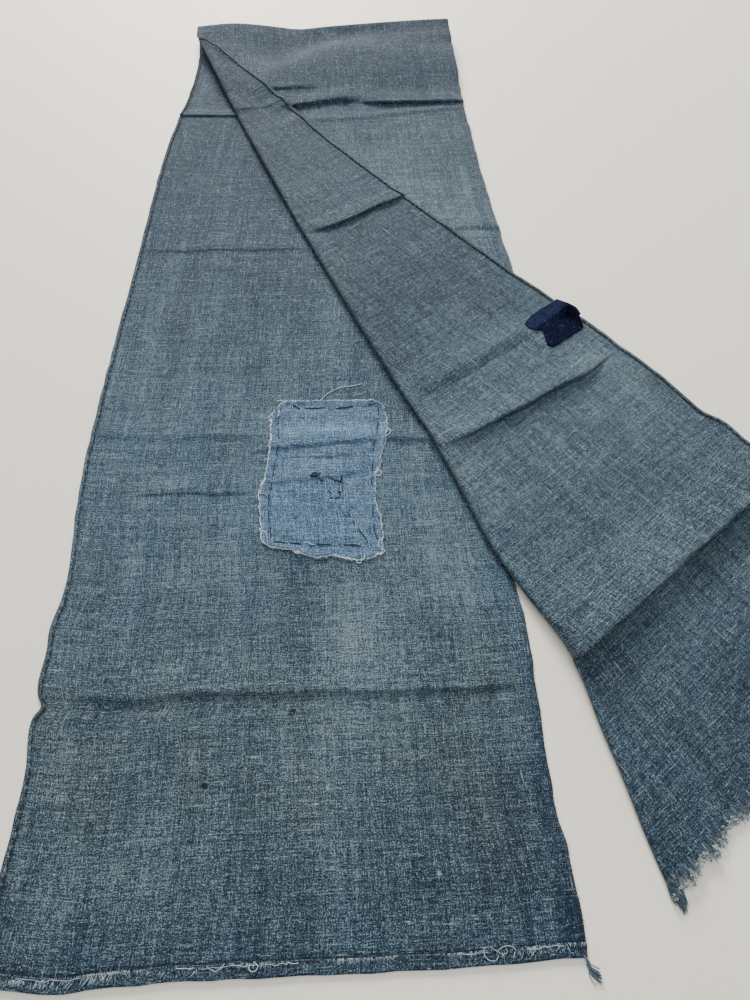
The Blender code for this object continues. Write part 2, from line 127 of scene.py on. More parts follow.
# The far fold: u, height of the rim, then the height of the valley behind it and of the
# ridge after that, each with its distance from the fold.
FAR_FOLD = (
    (0.000, 0.0150, 0.0110, 0.050, 0.0080, 0.100),
    (0.050, 0.0190, 0.0120, 0.055, 0.0085, 0.105),
    (0.100, 0.0150, 0.0060, 0.080, 0.0100, 0.120),
    (0.136, 0.0110, 0.0050, 0.055, 0.0120, 0.095),
    (0.180, 0.0160, 0.0080, 0.036, 0.0145, 0.072),
    (0.250, 0.0205, 0.0140, 0.040, 0.0150, 0.075),
    (0.340, 0.0262, 0.0190, 0.044, 0.0150, 0.080),
)
FAR_FOLD_REACH = 0.200

# Creases: place at their first and last column, u from, u to, height, width of the steep
# side and of the gentle one, lean of the crest over the steep side. The near panel's are
# placed by v with the steep side towards the near hem, the others by t, the length from
# the far fold, with the steep side away from that fold.
NEAR_CREASES = (
    (0.169, 0.166, -0.010, 0.350, 0.0030, 0.0060, 0.028, 0.0022),
    (0.337, 0.334, 0.040, 0.148, 0.0014, 0.0040, 0.018, 0.0012),
    (0.343, 0.352, 0.146, 0.236, 0.0013, 0.0060, 0.016, 0.0010),
    (0.379, 0.387, 0.140, 0.262, 0.0018, 0.0050, 0.020, 0.0014),
    (0.388, 0.383, 0.250, 0.312, 0.0026, 0.0060, 0.018, 0.0018),
    (0.399, 0.392, -0.010, 0.156, 0.0018, 0.0100, 0.024, 0.0000),
    (0.646, 0.644, -0.010, 0.190, 0.0011, 0.0060, 0.020, 0.0012),
    (0.906, 0.904, -0.010, 0.084, 0.0019, 0.0036, 0.020, 0.0024),
)
SECOND_CREASES = (
    (0.152, 0.150, 0.085, 0.165, 0.0014, 0.0030, 0.012, 0.0014),
    (0.191, 0.174, 0.108, 0.216, 0.0042, 0.0024, 0.030, 0.0042),
    (0.184, 0.190, 0.208, 0.348, 0.0040, 0.0022, 0.030, 0.0040),
    (0.226, 0.200, 0.118, 0.350, 0.0014, 0.0080, 0.016, 0.0000),
    (0.443, 0.446, 0.280, 0.350, 0.0018, 0.0034, 0.014, 0.0026),
)
FLAP_CREASES = (
    (0.222, 0.200, -0.010, 0.060, 0.0009, 0.0050, 0.016, 0.0008),
    (0.463, 0.452, -0.010, 0.128, 0.0037, 0.0024, 0.022, 0.0036),
    (0.696, 0.688, 0.036, 0.200, 0.0040, 0.0130, 0.030, 0.0000),
    (0.767, 0.746, 0.018, 0.226, 0.0060, 0.0030, 0.020, 0.0060),
    (0.939, 0.935, -0.010, 0.335, 0.0108, 0.0046, 0.042, 0.0086),
    (1.010, 1.010, 0.080, 0.250, 0.0018, 0.0400, 0.030, 0.0000),
)

# How far the turned edge strays to the right and the flap's hem inwards: t, shift.
TURN_DRIFT = (
    (0.020, 0.000),
    (0.163, 0.001),
    (0.449, 0.005),
    (0.649, 0.012),
    (0.744, 0.018),
    (0.860, 0.0185),
    (0.890, 0.0225),
    (0.930, 0.0284),
    (0.949, 0.0284),
    (0.983, 0.0230),
    (1.015, 0.0190),
    (1.050, 0.0135),
    (1.097, 0.0085),
)
WHOLE_DRIFT = (0.250, 0.500)
HEM_DRIFT = (
    (0.020, 0.000),
    (0.060, -0.008),
    (0.110, -0.012),
    (0.170, -0.013),
    (0.340, -0.003),
    (0.600, -0.0010),
    (0.680, -0.0040),
    (0.720, -0.0085),
    (0.760, -0.0090),
    (0.820, -0.0080),
    (0.845, -0.0045),
    (0.862, -0.0030),
    (0.880, -0.0080),
    (0.905, -0.0055),
    (1.090, -0.0060),
)
NAVY_MIDDLE = 0.700
NAVY_LIFT = 0.0020
NAVY_LIFT_FLAT = 0.034
NAVY_LIFT_REACH = 0.070

# Relief of cloth that never lies quite flat: height, and distance from swell to swell.
PANEL_SWELL = (0.0012, 0.085)
SECOND_SWELL = (0.0016, 0.070)
FLAP_SWELL = (0.0018, 0.060)
EDGE_WAVER = (0.0005, 0.013)
SELVEDGE_WAVER = (0.0008, 0.0120)
# How far in from the side hem, the near hem and the selvedge the edges' waver reaches.
SIDE_WAVER_REACH = 0.012
END_WAVER_REACH = 0.020
SELVEDGE_WAVER_REACH = 0.010


def curve(rows, column, at):
    """Column of some rows at places in their first column, as smooth Hermite curves.

    Between two rows the curve leaves each with the mean slope of its neighbours.
    """
    rows = np.asarray(rows)
    x, y = rows[:, 0], rows[:, column]
    slope = np.gradient(y, x)
    i = np.clip(np.searchsorted(x, at) - 1, 0, len(x) - 2)
    gap = x[i + 1] - x[i]
    s = np.clip((at - x[i]) / gap, 0.0, 1.0)
    straight = y[i] + (y[i + 1] - y[i]) * s * s * (3.0 - 2.0 * s)
    return straight + gap * s * (1.0 - s) * (slope[i] * (1.0 - s) - slope[i + 1] * s)


def ease(x):
    """Smooth step from 0 to 1 with x: three times its square less twice its cube."""
    x = np.clip(x, 0.0, 1.0)
    return x * x * (3.0 - 2.0 * x)


def bump(x):
    """1 at x = 0, falling smoothly to 0 at x = 1 and beyond on both sides."""
    return 1.0 - ease(np.abs(x))


def waver(at, step, seed):
    """Smooth random line from -1 to 1: seeded heights a step apart, joined by eased blends."""
    heights = np.random.default_rng(seed).uniform(-1.0, 1.0, 4096)
    place = np.asarray(at) / step
    cell = np.floor(place).astype(int)
    part = ease(place - cell)
    return heights[cell % 4096] * (1.0 - part) + heights[(cell + 1) % 4096] * part


def swell(x, y, step, seed):
    """Smooth random relief from 0 to 1: seeded heights on a square grid, blended both ways."""
    heights = np.random.default_rng(seed).uniform(0.0, 1.0, (128, 128))
    column, row = np.floor(x / step).astype(int), np.floor(y / step).astype(int)
    across, along = ease(x / step - column), ease(y / step - row)
    near = heights[row % 128, column % 128] * (1.0 - across)
    near = near + heights[row % 128, (column + 1) % 128] * across
    far = heights[(row + 1) % 128, column % 128] * (1.0 - across)
    far = far + heights[(row + 1) % 128, (column + 1) % 128] * across
    return near * (1.0 - along) + far * along


def creases(rows, along, across, towards, spread=0.0):
    """Height of the highest crease at each point, and how far its crest leans.

    Each crease falls on eased slopes to both sides of its line. The sign of towards says
    on which side the steep one lies.
    """
    shape = np.broadcast(along, across).shape
    height, lean = np.zeros(shape), np.zeros(shape)
    for number, (first, last, start, stop, rise, steep, gentle, over) in enumerate(rows):
        place = first + (last - first) * np.clip((across - start) / (stop - start), 0.0, 1.0)
        place = place + CREASE_WAVER[0] * waver(across, CREASE_WAVER[1], 40 + number)
        offset = (along - place) * towards
        profile = bump(offset / (np.where(offset > 0.0, steep, gentle) + spread))
        half = (stop - start) / 2.0 + spread
        ends = ease((half - np.abs(across - (start + stop) / 2.0)) / (CREASE_END * half))
        height = np.maximum(height, rise * profile * ends)
        lean = np.maximum(lean, over * profile * ends)
    return height, lean * towards


def near_plan(u, v):
    """Plan of the near panel: rows between the two hems, columns between the two edges."""
    hem = curve(NEAR_HEM, 1, u)
    far = NEAR_HEM[0][1] + WEFT_TILT * u + NEAR_LENGTH
    y = hem + (far - hem) * v / NEAR_LENGTH
    left, right = curve(LEFT_EDGE, 1, y), curve(RIGHT_EDGE, 1, y)
    return left + (right - left) * u / WIDTH, y


def panel_swell(x, y):
    """Low swells of the near panel, which the layers above follow."""
    return PANEL_SWELL[0] * swell(x, y, PANEL_SWELL[1], 3)


def on_near_panel(x, y):
    """Height where a layer on the near panel starts, bridging that panel's creases."""
    v = y - NEAR_HEM[0][1] - WEFT_TILT * (x - LEFT_EDGE[0][1])
    u = np.clip(x - curve(LEFT_EDGE, 1, y), 0.0, WIDTH)
    bridged = creases(NEAR_CREASES, v, u, -1.0, BRIDGE)[0]
    return bridged + panel_swell(x, y) + THICKNESS + LAYER_GAP


def far_rise(u, t):
    """Rise of the upper sheet near the far fold: rim, valley, ridge, then level."""
    rim, valley, valley_t, ridge, ridge_t = (curve(FAR_FOLD, c, u) for c in range(1, 6))
    rise = rim + (valley - rim) * ease(t / valley_t)
    rise = rise + (ridge - valley) * ease((t - valley_t) / (ridge_t - valley_t))
    return rise - ridge * ease((t - ridge_t) / (FAR_FOLD_REACH - ridge_t))


def upper_plan(u, t):
    """Plan of the upper sheet before its end is turned out, at the heading of the far fold."""
    x = UPPER_START[0] + u * math.cos(UPPER_HEADING) + t * math.sin(UPPER_HEADING)
    y = UPPER_START[1] + u * math.sin(UPPER_HEADING) - t * math.cos(UPPER_HEADING)
    return x, y


def upper_place(x, y):
    """The reverse of upper_plan."""
    x, y = x - UPPER_START[0], y - UPPER_START[1]
    u = x * math.cos(UPPER_HEADING) + y * math.sin(UPPER_HEADING)
    return u, x * math.sin(UPPER_HEADING) - y * math.cos(UPPER_HEADING)


def second_drift(t):
    """How far the whole second layer is shifted to the right."""
    whole = ease((t - WHOLE_DRIFT[0]) / (WHOLE_DRIFT[1] - WHOLE_DRIFT[0]))
    return whole * curve(TURN_DRIFT, 1, t)


def second_height(u, t, spread=0.0):
    """Second layer: on the near panel or past its edge, with its own rise, creases, swells."""
    x, y = upper_plan(u + second_drift(t), t)
    over_panel = 1.0 - ease((x - curve(RIGHT_EDGE, 1, y) - DROP_MARGIN) / DROP_WIDTH)
    rise = far_rise(u, t) + creases(SECOND_CREASES, t, u, 1.0, spread)[0]
    rise = rise + SECOND_SWELL[0] * swell(x, y, SECOND_SWELL[1], 5)
    return THICKNESS / 2.0 + over_panel * on_near_panel(x, y) + rise


def turn_u(t):
    """Where the slanting fold crosses the sheet at t."""
    return WIDTH * (t - TURN_START) / (TURN_END - TURN_START)


def flap_height(u, t, x, y):
    """Flap: on the second layer or past its edge, with its own creases and swells."""
    under_u, under_t = upper_place(x, y)
    under_u = under_u - second_drift(under_t)
    covered = 1.0 - ease((under_u - WIDTH - DROP_MARGIN) / DROP_WIDTH)
    under_z = second_height(np.clip(under_u, 0.0, WIDTH), under_t, BRIDGE)
    below = under_z + THICKNESS / 2.0 + LAYER_GAP
    slope = (np.hypot(u, t - NAVY_MIDDLE) - NAVY_LIFT_FLAT) / (NAVY_LIFT_REACH - NAVY_LIFT_FLAT)
    rise = np.maximum(creases(FLAP_CREASES, t, u, 1.0)[0], NAVY_LIFT * (1.0 - ease(slope)))
    rise = rise + FLAP_SWELL[0] * swell(u, t, FLAP_SWELL[1], 8) * ease(t / 0.2)
    return THICKNESS / 2.0 + covered * below + rise


def upper_point(u, t):
    """Upper sheet with its slanting turn: second layer, half-round edge, mirrored flap.

    s runs along the turn and q square to it. Up to q = 0 the sheet lies where it came from,
    over the arc it rises in a half turn, and beyond that its plan is mirrored in the turn.
    """
    length = math.hypot(WIDTH, TURN_END - TURN_START)
    across, along = WIDTH / length, (TURN_END - TURN_START) / length
    s = u * across + (t - TURN_START) * along
    q = -u * along + (t - TURN_START) * across
    phase = np.clip(q / TURN_ARC, 0.0, 1.0) * math.pi
    inward = np.maximum(q - TURN_ARC, 0.0)
    sideways = np.where(q <= 0.0, q, TURN_BULGE * np.sin(phase) - inward)
    fold_u = np.clip(turn_u(t), 1e-4, WIDTH - 1e-4)
    share = np.where(q <= 0.0, (u - fold_u) / (WIDTH - fold_u), (fold_u - u) / fold_u)
    share = np.clip(share, 0.0, 1.0)
    drift, whole = curve(TURN_DRIFT, 1, t), second_drift(t)
    layer_drift = whole + (drift - whole) * (1.0 - share) ** 2
    edge_drift = np.where(q <= 0.0, layer_drift, drift * (1.0 - share))
    hem_in = np.where(q <= 0.0, 0.0, curve(HEM_DRIFT, 1, t) * share)
    second_lean = creases(SECOND_CREASES, t, u, 1.0)[1]
    flap_lean = creases(FLAP_CREASES, t, u, 1.0)[1]
    lean = second_lean + (flap_lean - second_lean) * (1.0 - np.cos(phase)) / 2.0
    flat_u = s * across - sideways * along
    flat_t = TURN_START + s * along + sideways * across
    turned = 2.0 * math.atan2(across, along)
    x, y = upper_plan(flat_u, flat_t)
    heading = np.where(q <= 0.0, 0.0, turned) + UPPER_HEADING
    x = x + lean * np.sin(heading)
    y = y - lean * np.cos(heading)
    away = UPPER_HEADING + math.atan2(across, along)
    x = x + (edge_drift - hem_in) * math.cos(away)
    y = y + (edge_drift - hem_in) * math.sin(away)
    lower_z = second_height(u, t)
    tip = ease((TURN_END - TURN_START - s) / TURN_LIFT_END + 0.5)
    upper_z = flap_height(u, t, x, y) + TURN_LIFT * bump(inward / TURN_LIFT_REACH) * tip
    return x, y, lower_z + (upper_z - lower_z) * (1.0 - np.cos(phase)) / 2.0


def sheet_point(u, v):
    """The whole strip: near panel, half-ellipse at the far fold, upper sheet."""
    u, v = np.broadcast_arrays(np.asarray(u, float), np.asarray(v, float))
    near_rise, near_lean = creases(NEAR_CREASES, v, u, -1.0)
    near_x, near_y = near_plan(u, np.minimum(v, NEAR_LENGTH) + near_lean)
    near_z = THICKNESS / 2.0 + near_rise + panel_swell(near_x, near_y)
    loose = LOOSE_AT_FOLD * u / WIDTH
    t = np.maximum(loose + (v - UPPER_STARTS) * (1.0 - loose / UPPER_LENGTH), loose)
    upper_x, upper_y, upper_z = upper_point(u, t)
    phase = np.clip((v - NEAR_LENGTH) / FOLD_LENGTH, 0.0, 1.0) * math.pi
    turned = (1.0 - np.cos(phase)) / 2.0
    x = near_x + (upper_x - near_x) * turned - PLAN_CENTRE[0]
    y = near_y + (upper_y - near_y) * turned + FOLD_BULGE * np.sin(phase) - PLAN_CENTRE[1]
    return np.stack([x, y, near_z + (upper_z - near_z) * turned], axis=-1)


def wrapped(place, turn):
    """A turned hem: distance in from the fold, and share of the way over, 0 below to 1 above.

    The cloth comes out to the fold, goes round a half circle and lies back on itself, so
    places below zero are those of the turned-in part.
    """
    angle = math.pi * np.clip((turn - place) / (2.0 * turn), 0.0, 1.0)
    inwards = np.where(np.abs(place) < turn, turn * (1.0 - np.sin(angle)), np.abs(place))
    return inwards, (1.0 - np.cos(angle)) / 2.0


def cloth_point(u, v, lift=0.0):
    """Point of the cloth with both hems turned over its face, lifted off its face side.

    Where the end hem crosses the side hem the four layers lie one on another.
    """
    u, v = np.broadcast_arrays(np.asarray(u, float), np.asarray(v, float))
    in_u, over_u = wrapped(u, HEM_RISE / 2.0)
    in_v, over_v = wrapped(v, HEM_RISE / 2.0)
    side = (WIDTH - in_u) / SELVEDGE_WAVER_REACH
    in_u = in_u + SELVEDGE_WAVER[0] * waver(v, SELVEDGE_WAVER[1], 11) * bump(side)
    in_u = in_u + EDGE_WAVER[0] * waver(v, EDGE_WAVER[1], 12) * bump(in_u / SIDE_WAVER_REACH)
    in_v = in_v + EDGE_WAVER[0] * waver(u, EDGE_WAVER[1], 13) * bump(in_v / END_WAVER_REACH)
    step = 0.0002
    across = sheet_point(in_u + step, in_v) - sheet_point(in_u - step, in_v)
    along = sheet_point(in_u, in_v + step) - sheet_point(in_u, in_v - step)
    normal = np.cross(across, along)
    normal = normal / np.linalg.norm(normal, axis=-1, keepdims=True)
    corner = 1.0 - ease((in_u - SIDE_HEM) / (HEM_CORNER - SIDE_HEM))
    layers = over_u + over_v * (1.0 + 2.0 * corner - 2.0 * over_u)
    return sheet_point(in_u, in_v) + normal * (HEM_RISE * layers + lift)[..., None]


def graded(start, stop, coarse, places):
    """Stations from start to stop, closer near each place: equal cuts of the summed density."""
    at = np.linspace(start, stop, 40001)
    density = np.full(at.shape, 1.0 / coarse)
    for place, reach, step in places:
        density = np.maximum(density, bump((at - place) / reach) / step)
    total = np.concatenate([[0.0], np.cumsum((density[1:] + density[:-1]) / 2.0 * np.diff(at))])
    cuts = np.linspace(0.0, total[-1], 1 + round(total[-1]))
    return np.interp(cuts, total, at)


# Rows of the mesh in v: how far close rows reach beside a crease, and their step; how far
# apart the others are; and the rows of the near hem, from its raw edge to its fold.
CREASE_ROWS = (0.010, 0.0010)
COARSE_ROWS = 0.0056
HEM_ROWS = (-END_HEM, -0.0052, -0.0036, -0.0020, -0.0006, -0.0003, 0.0, 0.0003, 0.0006)
# Where else rows lie close: middle, reach, step.
CLOSE_ROWS = (
    (NEAR_LENGTH + FOLD_LENGTH / 2.0, 0.030, 0.0016),
    (END_HEM + 0.0017, 0.0060, 0.0008),
)


def crease_places(rows, offset, towards):
    """For each crease the middle of its steep side, how far close rows reach, and their step."""
    places = []
    for first, last, _, _, _, steep, *_ in rows:
        middle = (first + last) / 2.0 + towards * steep / 2.0
        reach = 1.4 * steep + abs(last - first) / 2.0 + CREASE_ROWS[0]
        places.append((offset + middle, reach, CREASE_ROWS[1]))
    return places


def cloth_rows():
    """v of every row: the turned-in end hem, its fold, and closer rows at every crease."""
    places = crease_places(NEAR_CREASES, 0.0, -1.0) + list(CLOSE_ROWS)
    for rows in (SECOND_CREASES, FLAP_CREASES):
        places += crease_places(rows, UPPER_STARTS, 1.0)
    return np.concatenate([HEM_ROWS, graded(0.0025, STRIP_LENGTH, COARSE_ROWS, places)])


# Columns of the mesh in u: those of the side hem, and how many follow in each part.
HEM_COLUMNS = np.array(
    [-SIDE_HEM, -0.0022, -0.0005, -0.00025, 0.0, 0.00025, 0.0005, 0.0022, 0.0040, 0.0070, 0.0120]
)
HEM_COLUMNS_FULL = 0.030
FLAP_COLUMNS = 19
ARC_COLUMNS = 8
UNDER_COLUMNS = 22
LEAST_FLAP = 0.0030
COLUMN_CHANGE = (0.800, 1.080)


def cloth_columns(v):
    """u of every column at each row: hem, flap side, slanting turn, under side.

    On the near panel the columns are even. From the far fold on they follow the turn.
    """
    t = v - UPPER_STARTS
    reach = TURN_ARC * math.hypot(WIDTH, TURN_END - TURN_START) / (TURN_END - TURN_START)
    fold_u = turn_u(np.maximum(t, TURN_START))
    flap = np.clip(fold_u - reach, LEAST_FLAP, WIDTH - reach - LEAST_FLAP)[:, None]
    arc = np.clip(fold_u[:, None] - flap, LEAST_FLAP, reach)
    hem = HEM_COLUMNS * np.minimum(1.0, flap / HEM_COLUMNS_FULL)
    inner = hem[:, -1:] + (flap - hem[:, -1:]) * np.linspace(0.0, 1.0, FLAP_COLUMNS + 1)[1:]
    turn = flap + arc * np.linspace(0.0, 1.0, ARC_COLUMNS + 1)[1:]
    under = flap + arc + (WIDTH - flap - arc) * np.linspace(0.0, 1.0, UNDER_COLUMNS + 1)[1:]
    slanted = np.concatenate([hem, inner, turn, under], axis=1)
    even = np.linspace(HEM_COLUMNS[-1], WIDTH, slanted.shape[1] - len(HEM_COLUMNS) + 1)[1:]
    plain = np.concatenate([HEM_COLUMNS, even])
    blend = ease((v - COLUMN_CHANGE[0]) / (COLUMN_CHANGE[1] - COLUMN_CHANGE[0]))[:, None]
    return plain + (slanted - plain) * blend


def placed(name, data):
    """Object that holds a mesh, a light or a camera, put in the scene."""
    thing = bpy.data.objects.new(name, data)
    bpy.context.scene.collection.objects.link(thing)
    return thing


def mark_points(mesh, name, values):
    """Gives each point of a mesh a value, as an attribute."""
    attribute = mesh.attributes.new(name, "FLOAT", "POINT")
    attribute.data.foreach_set("value", values.astype(np.float32).ravel())


def grid_mesh(name, points, places, marks):
    """Mesh of a grid of points, with each point's place on the flat cloth as its UV.

    points is rows by columns by 3, places rows by columns by 2 in metres, and marks holds
    a value for each point under the name of its attribute.
    """
    rows, columns = points.shape[:2]
    index = np.arange(rows * columns).reshape(rows, columns)
    corners = [index[:-1, :-1], index[:-1, 1:], index[1:, 1:], index[1:, :-1]]
    quads = np.stack(corners, axis=-1).reshape(-1, 4)
    mesh = bpy.data.meshes.new(name)
    mesh.from_pydata(points.reshape(-1, 3).tolist(), [], quads.tolist())
    layer = mesh.uv_layers.new(name="flat")
    layer.data.foreach_set("uv", places.reshape(-1, 2)[quads.ravel()].astype(np.float32).ravel())
    for mark, values in marks.items():
        mark_points(mesh, mark, np.broadcast_to(values, (rows, columns)))
    mesh.shade_smooth()
    return placed(name, mesh)


def thicken(thing, thickness):
    """Gives a sheet its thickness, half to each side."""
    wall = thing.modifiers.new("thickness", "SOLIDIFY")
    wall.thickness = thickness
    wall.offset = 0.0


def new_group(name, inputs, outputs):
    """Empty shader node group with the named inputs and outputs."""
    group = bpy.data.node_groups.new(name, "ShaderNodeTree")
    for label, kind, value in inputs:
        socket = group.interface.new_socket(label, in_out="INPUT", socket_type=kind)
        if value is not None:
            socket.default_value = value
    for label, kind in outputs:
        group.interface.new_socket(label, in_out="OUTPUT", socket_type=kind)
    return group, group.nodes.new("NodeGroupInput"), group.nodes.new("NodeGroupOutput")


def math_node(tree, operation, a, b=None, c=None):
    """Math node with sockets or numbers as its inputs, and its output."""
    node = tree.nodes.new("ShaderNodeMath")
    node.operation = operation
    for socket, value in zip(node.inputs, (a, b, c)):
        if isinstance(value, bpy.types.NodeSocket):
            tree.links.new(value, socket)
        elif value is not None:
            socket.default_value = value
    return node.outputs[0]


def stretched_noise(tree, place, scale, detail, roughness=0.5):
    """Noise read at a place that is first multiplied by the scale in each direction."""
    mapping = tree.nodes.new("ShaderNodeMapping")
    mapping.inputs["Scale"].default_value = scale
    tree.links.new(place, mapping.inputs["Vector"])
    noise = tree.nodes.new("ShaderNodeTexNoise")
    noise.inputs["Scale"].default_value = 1.0
    noise.inputs["Detail"].default_value = detail
    noise.inputs["Roughness"].default_value = roughness
    tree.links.new(mapping.outputs["Vector"], noise.inputs["Vector"])
    return noise.outputs["Fac"]


def centred(tree, value, gain):
    """A noise about zero, times a gain."""
    return math_node(tree, "MULTIPLY", math_node(tree, "SUBTRACT", value, 0.5), gain)


# Noises of the weave: how fast each changes across the warp and along it, per metre, then
# its detail, its roughness and how much of it is added. The first two are warp and weft.
THREAD_NOISES = (
    (1300.0, 170.0, 1.0, 0.5, 0.85),
    (160.0, 1250.0, 1.0, 0.5, 0.85),
    (950.0, 28.0, 1.0, 0.5, 0.65),
    (30.0, 950.0, 1.0, 0.5, 0.70),
    (1750.0, 1650.0, 0.0, 0.5, 1.7),
    (1000.0, 920.0, 0.0, 0.5, 1.1),
)
BAND_NOISES = (
    (190.0, 5.0, 3.0, 0.7, 0.42),
    (6.0, 170.0, 3.0, 0.7, 0.45),
    (42.0, 6.0, 2.0, 0.5, 0.30),
    (13.0, 13.0, 5.0, 0.6, 0.32),
)
# Specks and slubs: the same for the warp, for the weft, the level they stand above, gain.
SPECK_NOISES = (
    ((1100.0, 230.0), (210.0, 1100.0), 0.67, 8.0),
    ((700.0, 62.0), (58.0, 700.0), 0.66, 4.0),
)
MEAN_SHADE = 0.45
WARP_PITCH = 0.00072
WEFT_PITCH = 0.00080


def summed_noises(tree, place, rows):
    """The noises of some rows, and their sum, each about zero and times its gain."""
    noises = [stretched_noise(tree, place, (*row[:2], 1.0), *row[2:4]) for row in rows]
    total = centred(tree, noises[0], rows[0][4])
    for noise, row in zip(noises[1:], rows[1:]):
        total = math_node(tree, "ADD", total, centred(tree, noise, row[4]))
    return noises, total


def weave_group():
    """Hand-spun plain weave: the lightness and the relief of its threads.

    Warp and weft threads cross a pitch apart. Each has its own lightness that changes
    slowly along it, thick and thin places, and here and there a pale speck.
    """
    inputs = [("Place", "NodeSocketVector", None), ("Streaks", "NodeSocketFloat", 1.0)]
    outputs = [("Shade", "NodeSocketFloat"), ("Speck", "NodeSocketFloat"), ("Relief", "NodeSocketFloat")]
    group, source, result = new_group("hand_spun_weave", inputs, outputs)
    place = source.outputs["Place"]
    (warp, weft, *_), threads = summed_noises(group, place, THREAD_NOISES)
    bands = summed_noises(group, place, BAND_NOISES)[1]
    bands = math_node(group, "MULTIPLY", bands, source.outputs["Streaks"])
    shade = math_node(group, "ADD", math_node(group, "ADD", threads, bands), MEAN_SHADE)
    group.links.new(shade, result.inputs["Shade"])
    specks = 0.0
    for long, wide, level, gain in SPECK_NOISES:
        long = stretched_noise(group, place, (*long, 1.0), 1.0)
        wide = stretched_noise(group, place, (*wide, 1.0), 1.0)
        above = math_node(group, "SUBTRACT", math_node(group, "MAXIMUM", long, wide), level)
        specks = math_node(group, "MAXIMUM", math_node(group, "MULTIPLY", above, gain), specks)
    group.links.new(specks, result.inputs["Speck"])
    split = group.nodes.new("ShaderNodeSeparateXYZ")
    group.links.new(place, split.inputs["Vector"])
    over, under = (
        math_node(group, "SINE", math_node(group, "MULTIPLY", split.outputs[axis], math.pi / pitch))
        for axis, pitch in (("X", WARP_PITCH), ("Y", WEFT_PITCH))
    )
    crossing = math_node(group, "MULTIPLY", math_node(group, "MULTIPLY", over, under), 0.35)
    thick_warp = math_node(group, "MULTIPLY", warp, 0.9)
    thick = math_node(group, "ADD", thick_warp, math_node(group, "MULTIPLY", weft, 0.9))
    group.links.new(math_node(group, "ADD", crossing, thick), result.inputs["Relief"])
    return group


WEAVE = weave_group()


def colour_ramp(tree, factor, stops):
    """Colour read from a ramp of stops: place, then linear red, green, blue."""
    node = tree.nodes.new("ShaderNodeValToRGB")
    while len(node.color_ramp.elements) < len(stops):
        node.color_ramp.elements.new(0.5)
    for element, (place, *colour) in zip(node.color_ramp.elements, stops):
        element.position = place
        element.color = (*colour, 1.0)
    tree.links.new(factor, node.inputs["Fac"])
    return node.outputs["Color"]


def mix_colour(tree, factor, a, b):
    """Mix of two colours by a factor."""
    node = tree.nodes.new("ShaderNodeMix")
    node.data_type = "RGBA"
    for name, value in (("Factor", factor), ("A", a), ("B", b)):
        socket = next(s for s in node.inputs if s.name == name and s.enabled)
        if isinstance(value, bpy.types.NodeSocket):
            tree.links.new(value, socket)
        else:
            socket.default_value = value
    return next(s for s in node.outputs if s.enabled)


def attribute_value(tree, name):
    """Value of a mesh attribute at the shaded point."""
    node = tree.nodes.new("ShaderNodeAttribute")
    node.attribute_name = name
    return node.outputs["Fac"]


SPOT_FLAT = 0.6


def spots(tree, place, rows):
    """Change of shade in small round spots: u, v, radius, change at the middle of each.

    It grows inwards from the rim in a straight line, up to a flat middle.
    """
    total = 0.0
    for u, v, radius, change in rows:
        distance = tree.nodes.new("ShaderNodeVectorMath")
        distance.operation = "DISTANCE"
        tree.links.new(place, distance.inputs[0])
        distance.inputs[1].default_value = (u, v, 0.0)
        outward = math_node(tree, "DIVIDE", distance.outputs["Value"], radius)
        near = math_node(tree, "MAXIMUM", math_node(tree, "SUBTRACT", 1.0, outward), 0.0)
        near = math_node(tree, "MINIMUM", near, SPOT_FLAT)
        total = math_node(tree, "MULTIPLY_ADD", near, change / SPOT_FLAT, total)
    return total


def new_material(name, roughness, gloss, sheen):
    """Matt material of that name, with its node tree and its shader."""
    material = bpy.data.materials.new(name)
    material.use_nodes = True
    shader = material.node_tree.nodes["Principled BSDF"]
    shader.inputs["Roughness"].default_value = roughness
    shader.inputs["Specular IOR Level"].default_value = gloss
    shader.inputs["Sheen Weight"].default_value = sheen
    return material, material.node_tree, shader


# Hues and tints, the fine and the broad changes from one ramp to the other: noise, gain.
HUE_NOISES = (
    (900.0, 850.0, 1.0, 0.7, 1.5),
    (26.0, 14.0, 3.0, 0.5, 0.9),
)
SPECK_SHARE = 0.75
RELIEF_DEPTH = 0.00022
RELIEF_STRENGTH = 0.6


def woven_material(name, greyed, blue, speck_colour, streaks, sheen, gloss, stains=()):
    """Dyed cotton in the hand-spun weave, its shades read from two ramps, greyed and blue.

    The fade attribute, which also carries painted light and shade, makes it lighter, and the
    attribute blue moves it from one ramp to the other.
    """
    material, tree, shader = new_material(name, 0.92, gloss, sheen)
    uv = tree.nodes.new("ShaderNodeUVMap")
    uv.uv_map = "flat"
    weave = tree.nodes.new("ShaderNodeGroup")
    weave.node_tree = WEAVE
    weave.inputs["Streaks"].default_value = streaks
    tree.links.new(uv.outputs["UV"], weave.inputs["Place"])
    shade = math_node(tree, "ADD", weave.outputs["Shade"], attribute_value(tree, "fade_and_painted_light"))
    shade = math_node(tree, "ADD", shade, spots(tree, uv.outputs["UV"], stains))
    hues = summed_noises(tree, uv.outputs["UV"], HUE_NOISES)[1]
    colour = mix_colour(
        tree,
        math_node(tree, "ADD", attribute_value(tree, "blue"), hues),
        colour_ramp(tree, shade, greyed),
        colour_ramp(tree, shade, blue),
    )
    speck = math_node(tree, "MULTIPLY", weave.outputs["Speck"], SPECK_SHARE)
    tree.links.new(mix_colour(tree, speck, colour, speck_colour), shader.inputs["Base Color"])
    relief = tree.nodes.new("ShaderNodeBump")
    relief.inputs["Distance"].default_value = RELIEF_DEPTH
    relief.inputs["Strength"].default_value = RELIEF_STRENGTH
    tree.links.new(weave.outputs["Relief"], relief.inputs["Height"])
    tree.links.new(relief.outputs["Normal"], shader.inputs["Normal"])
    shader.inputs["Sheen Roughness"].default_value = 0.45
    return material


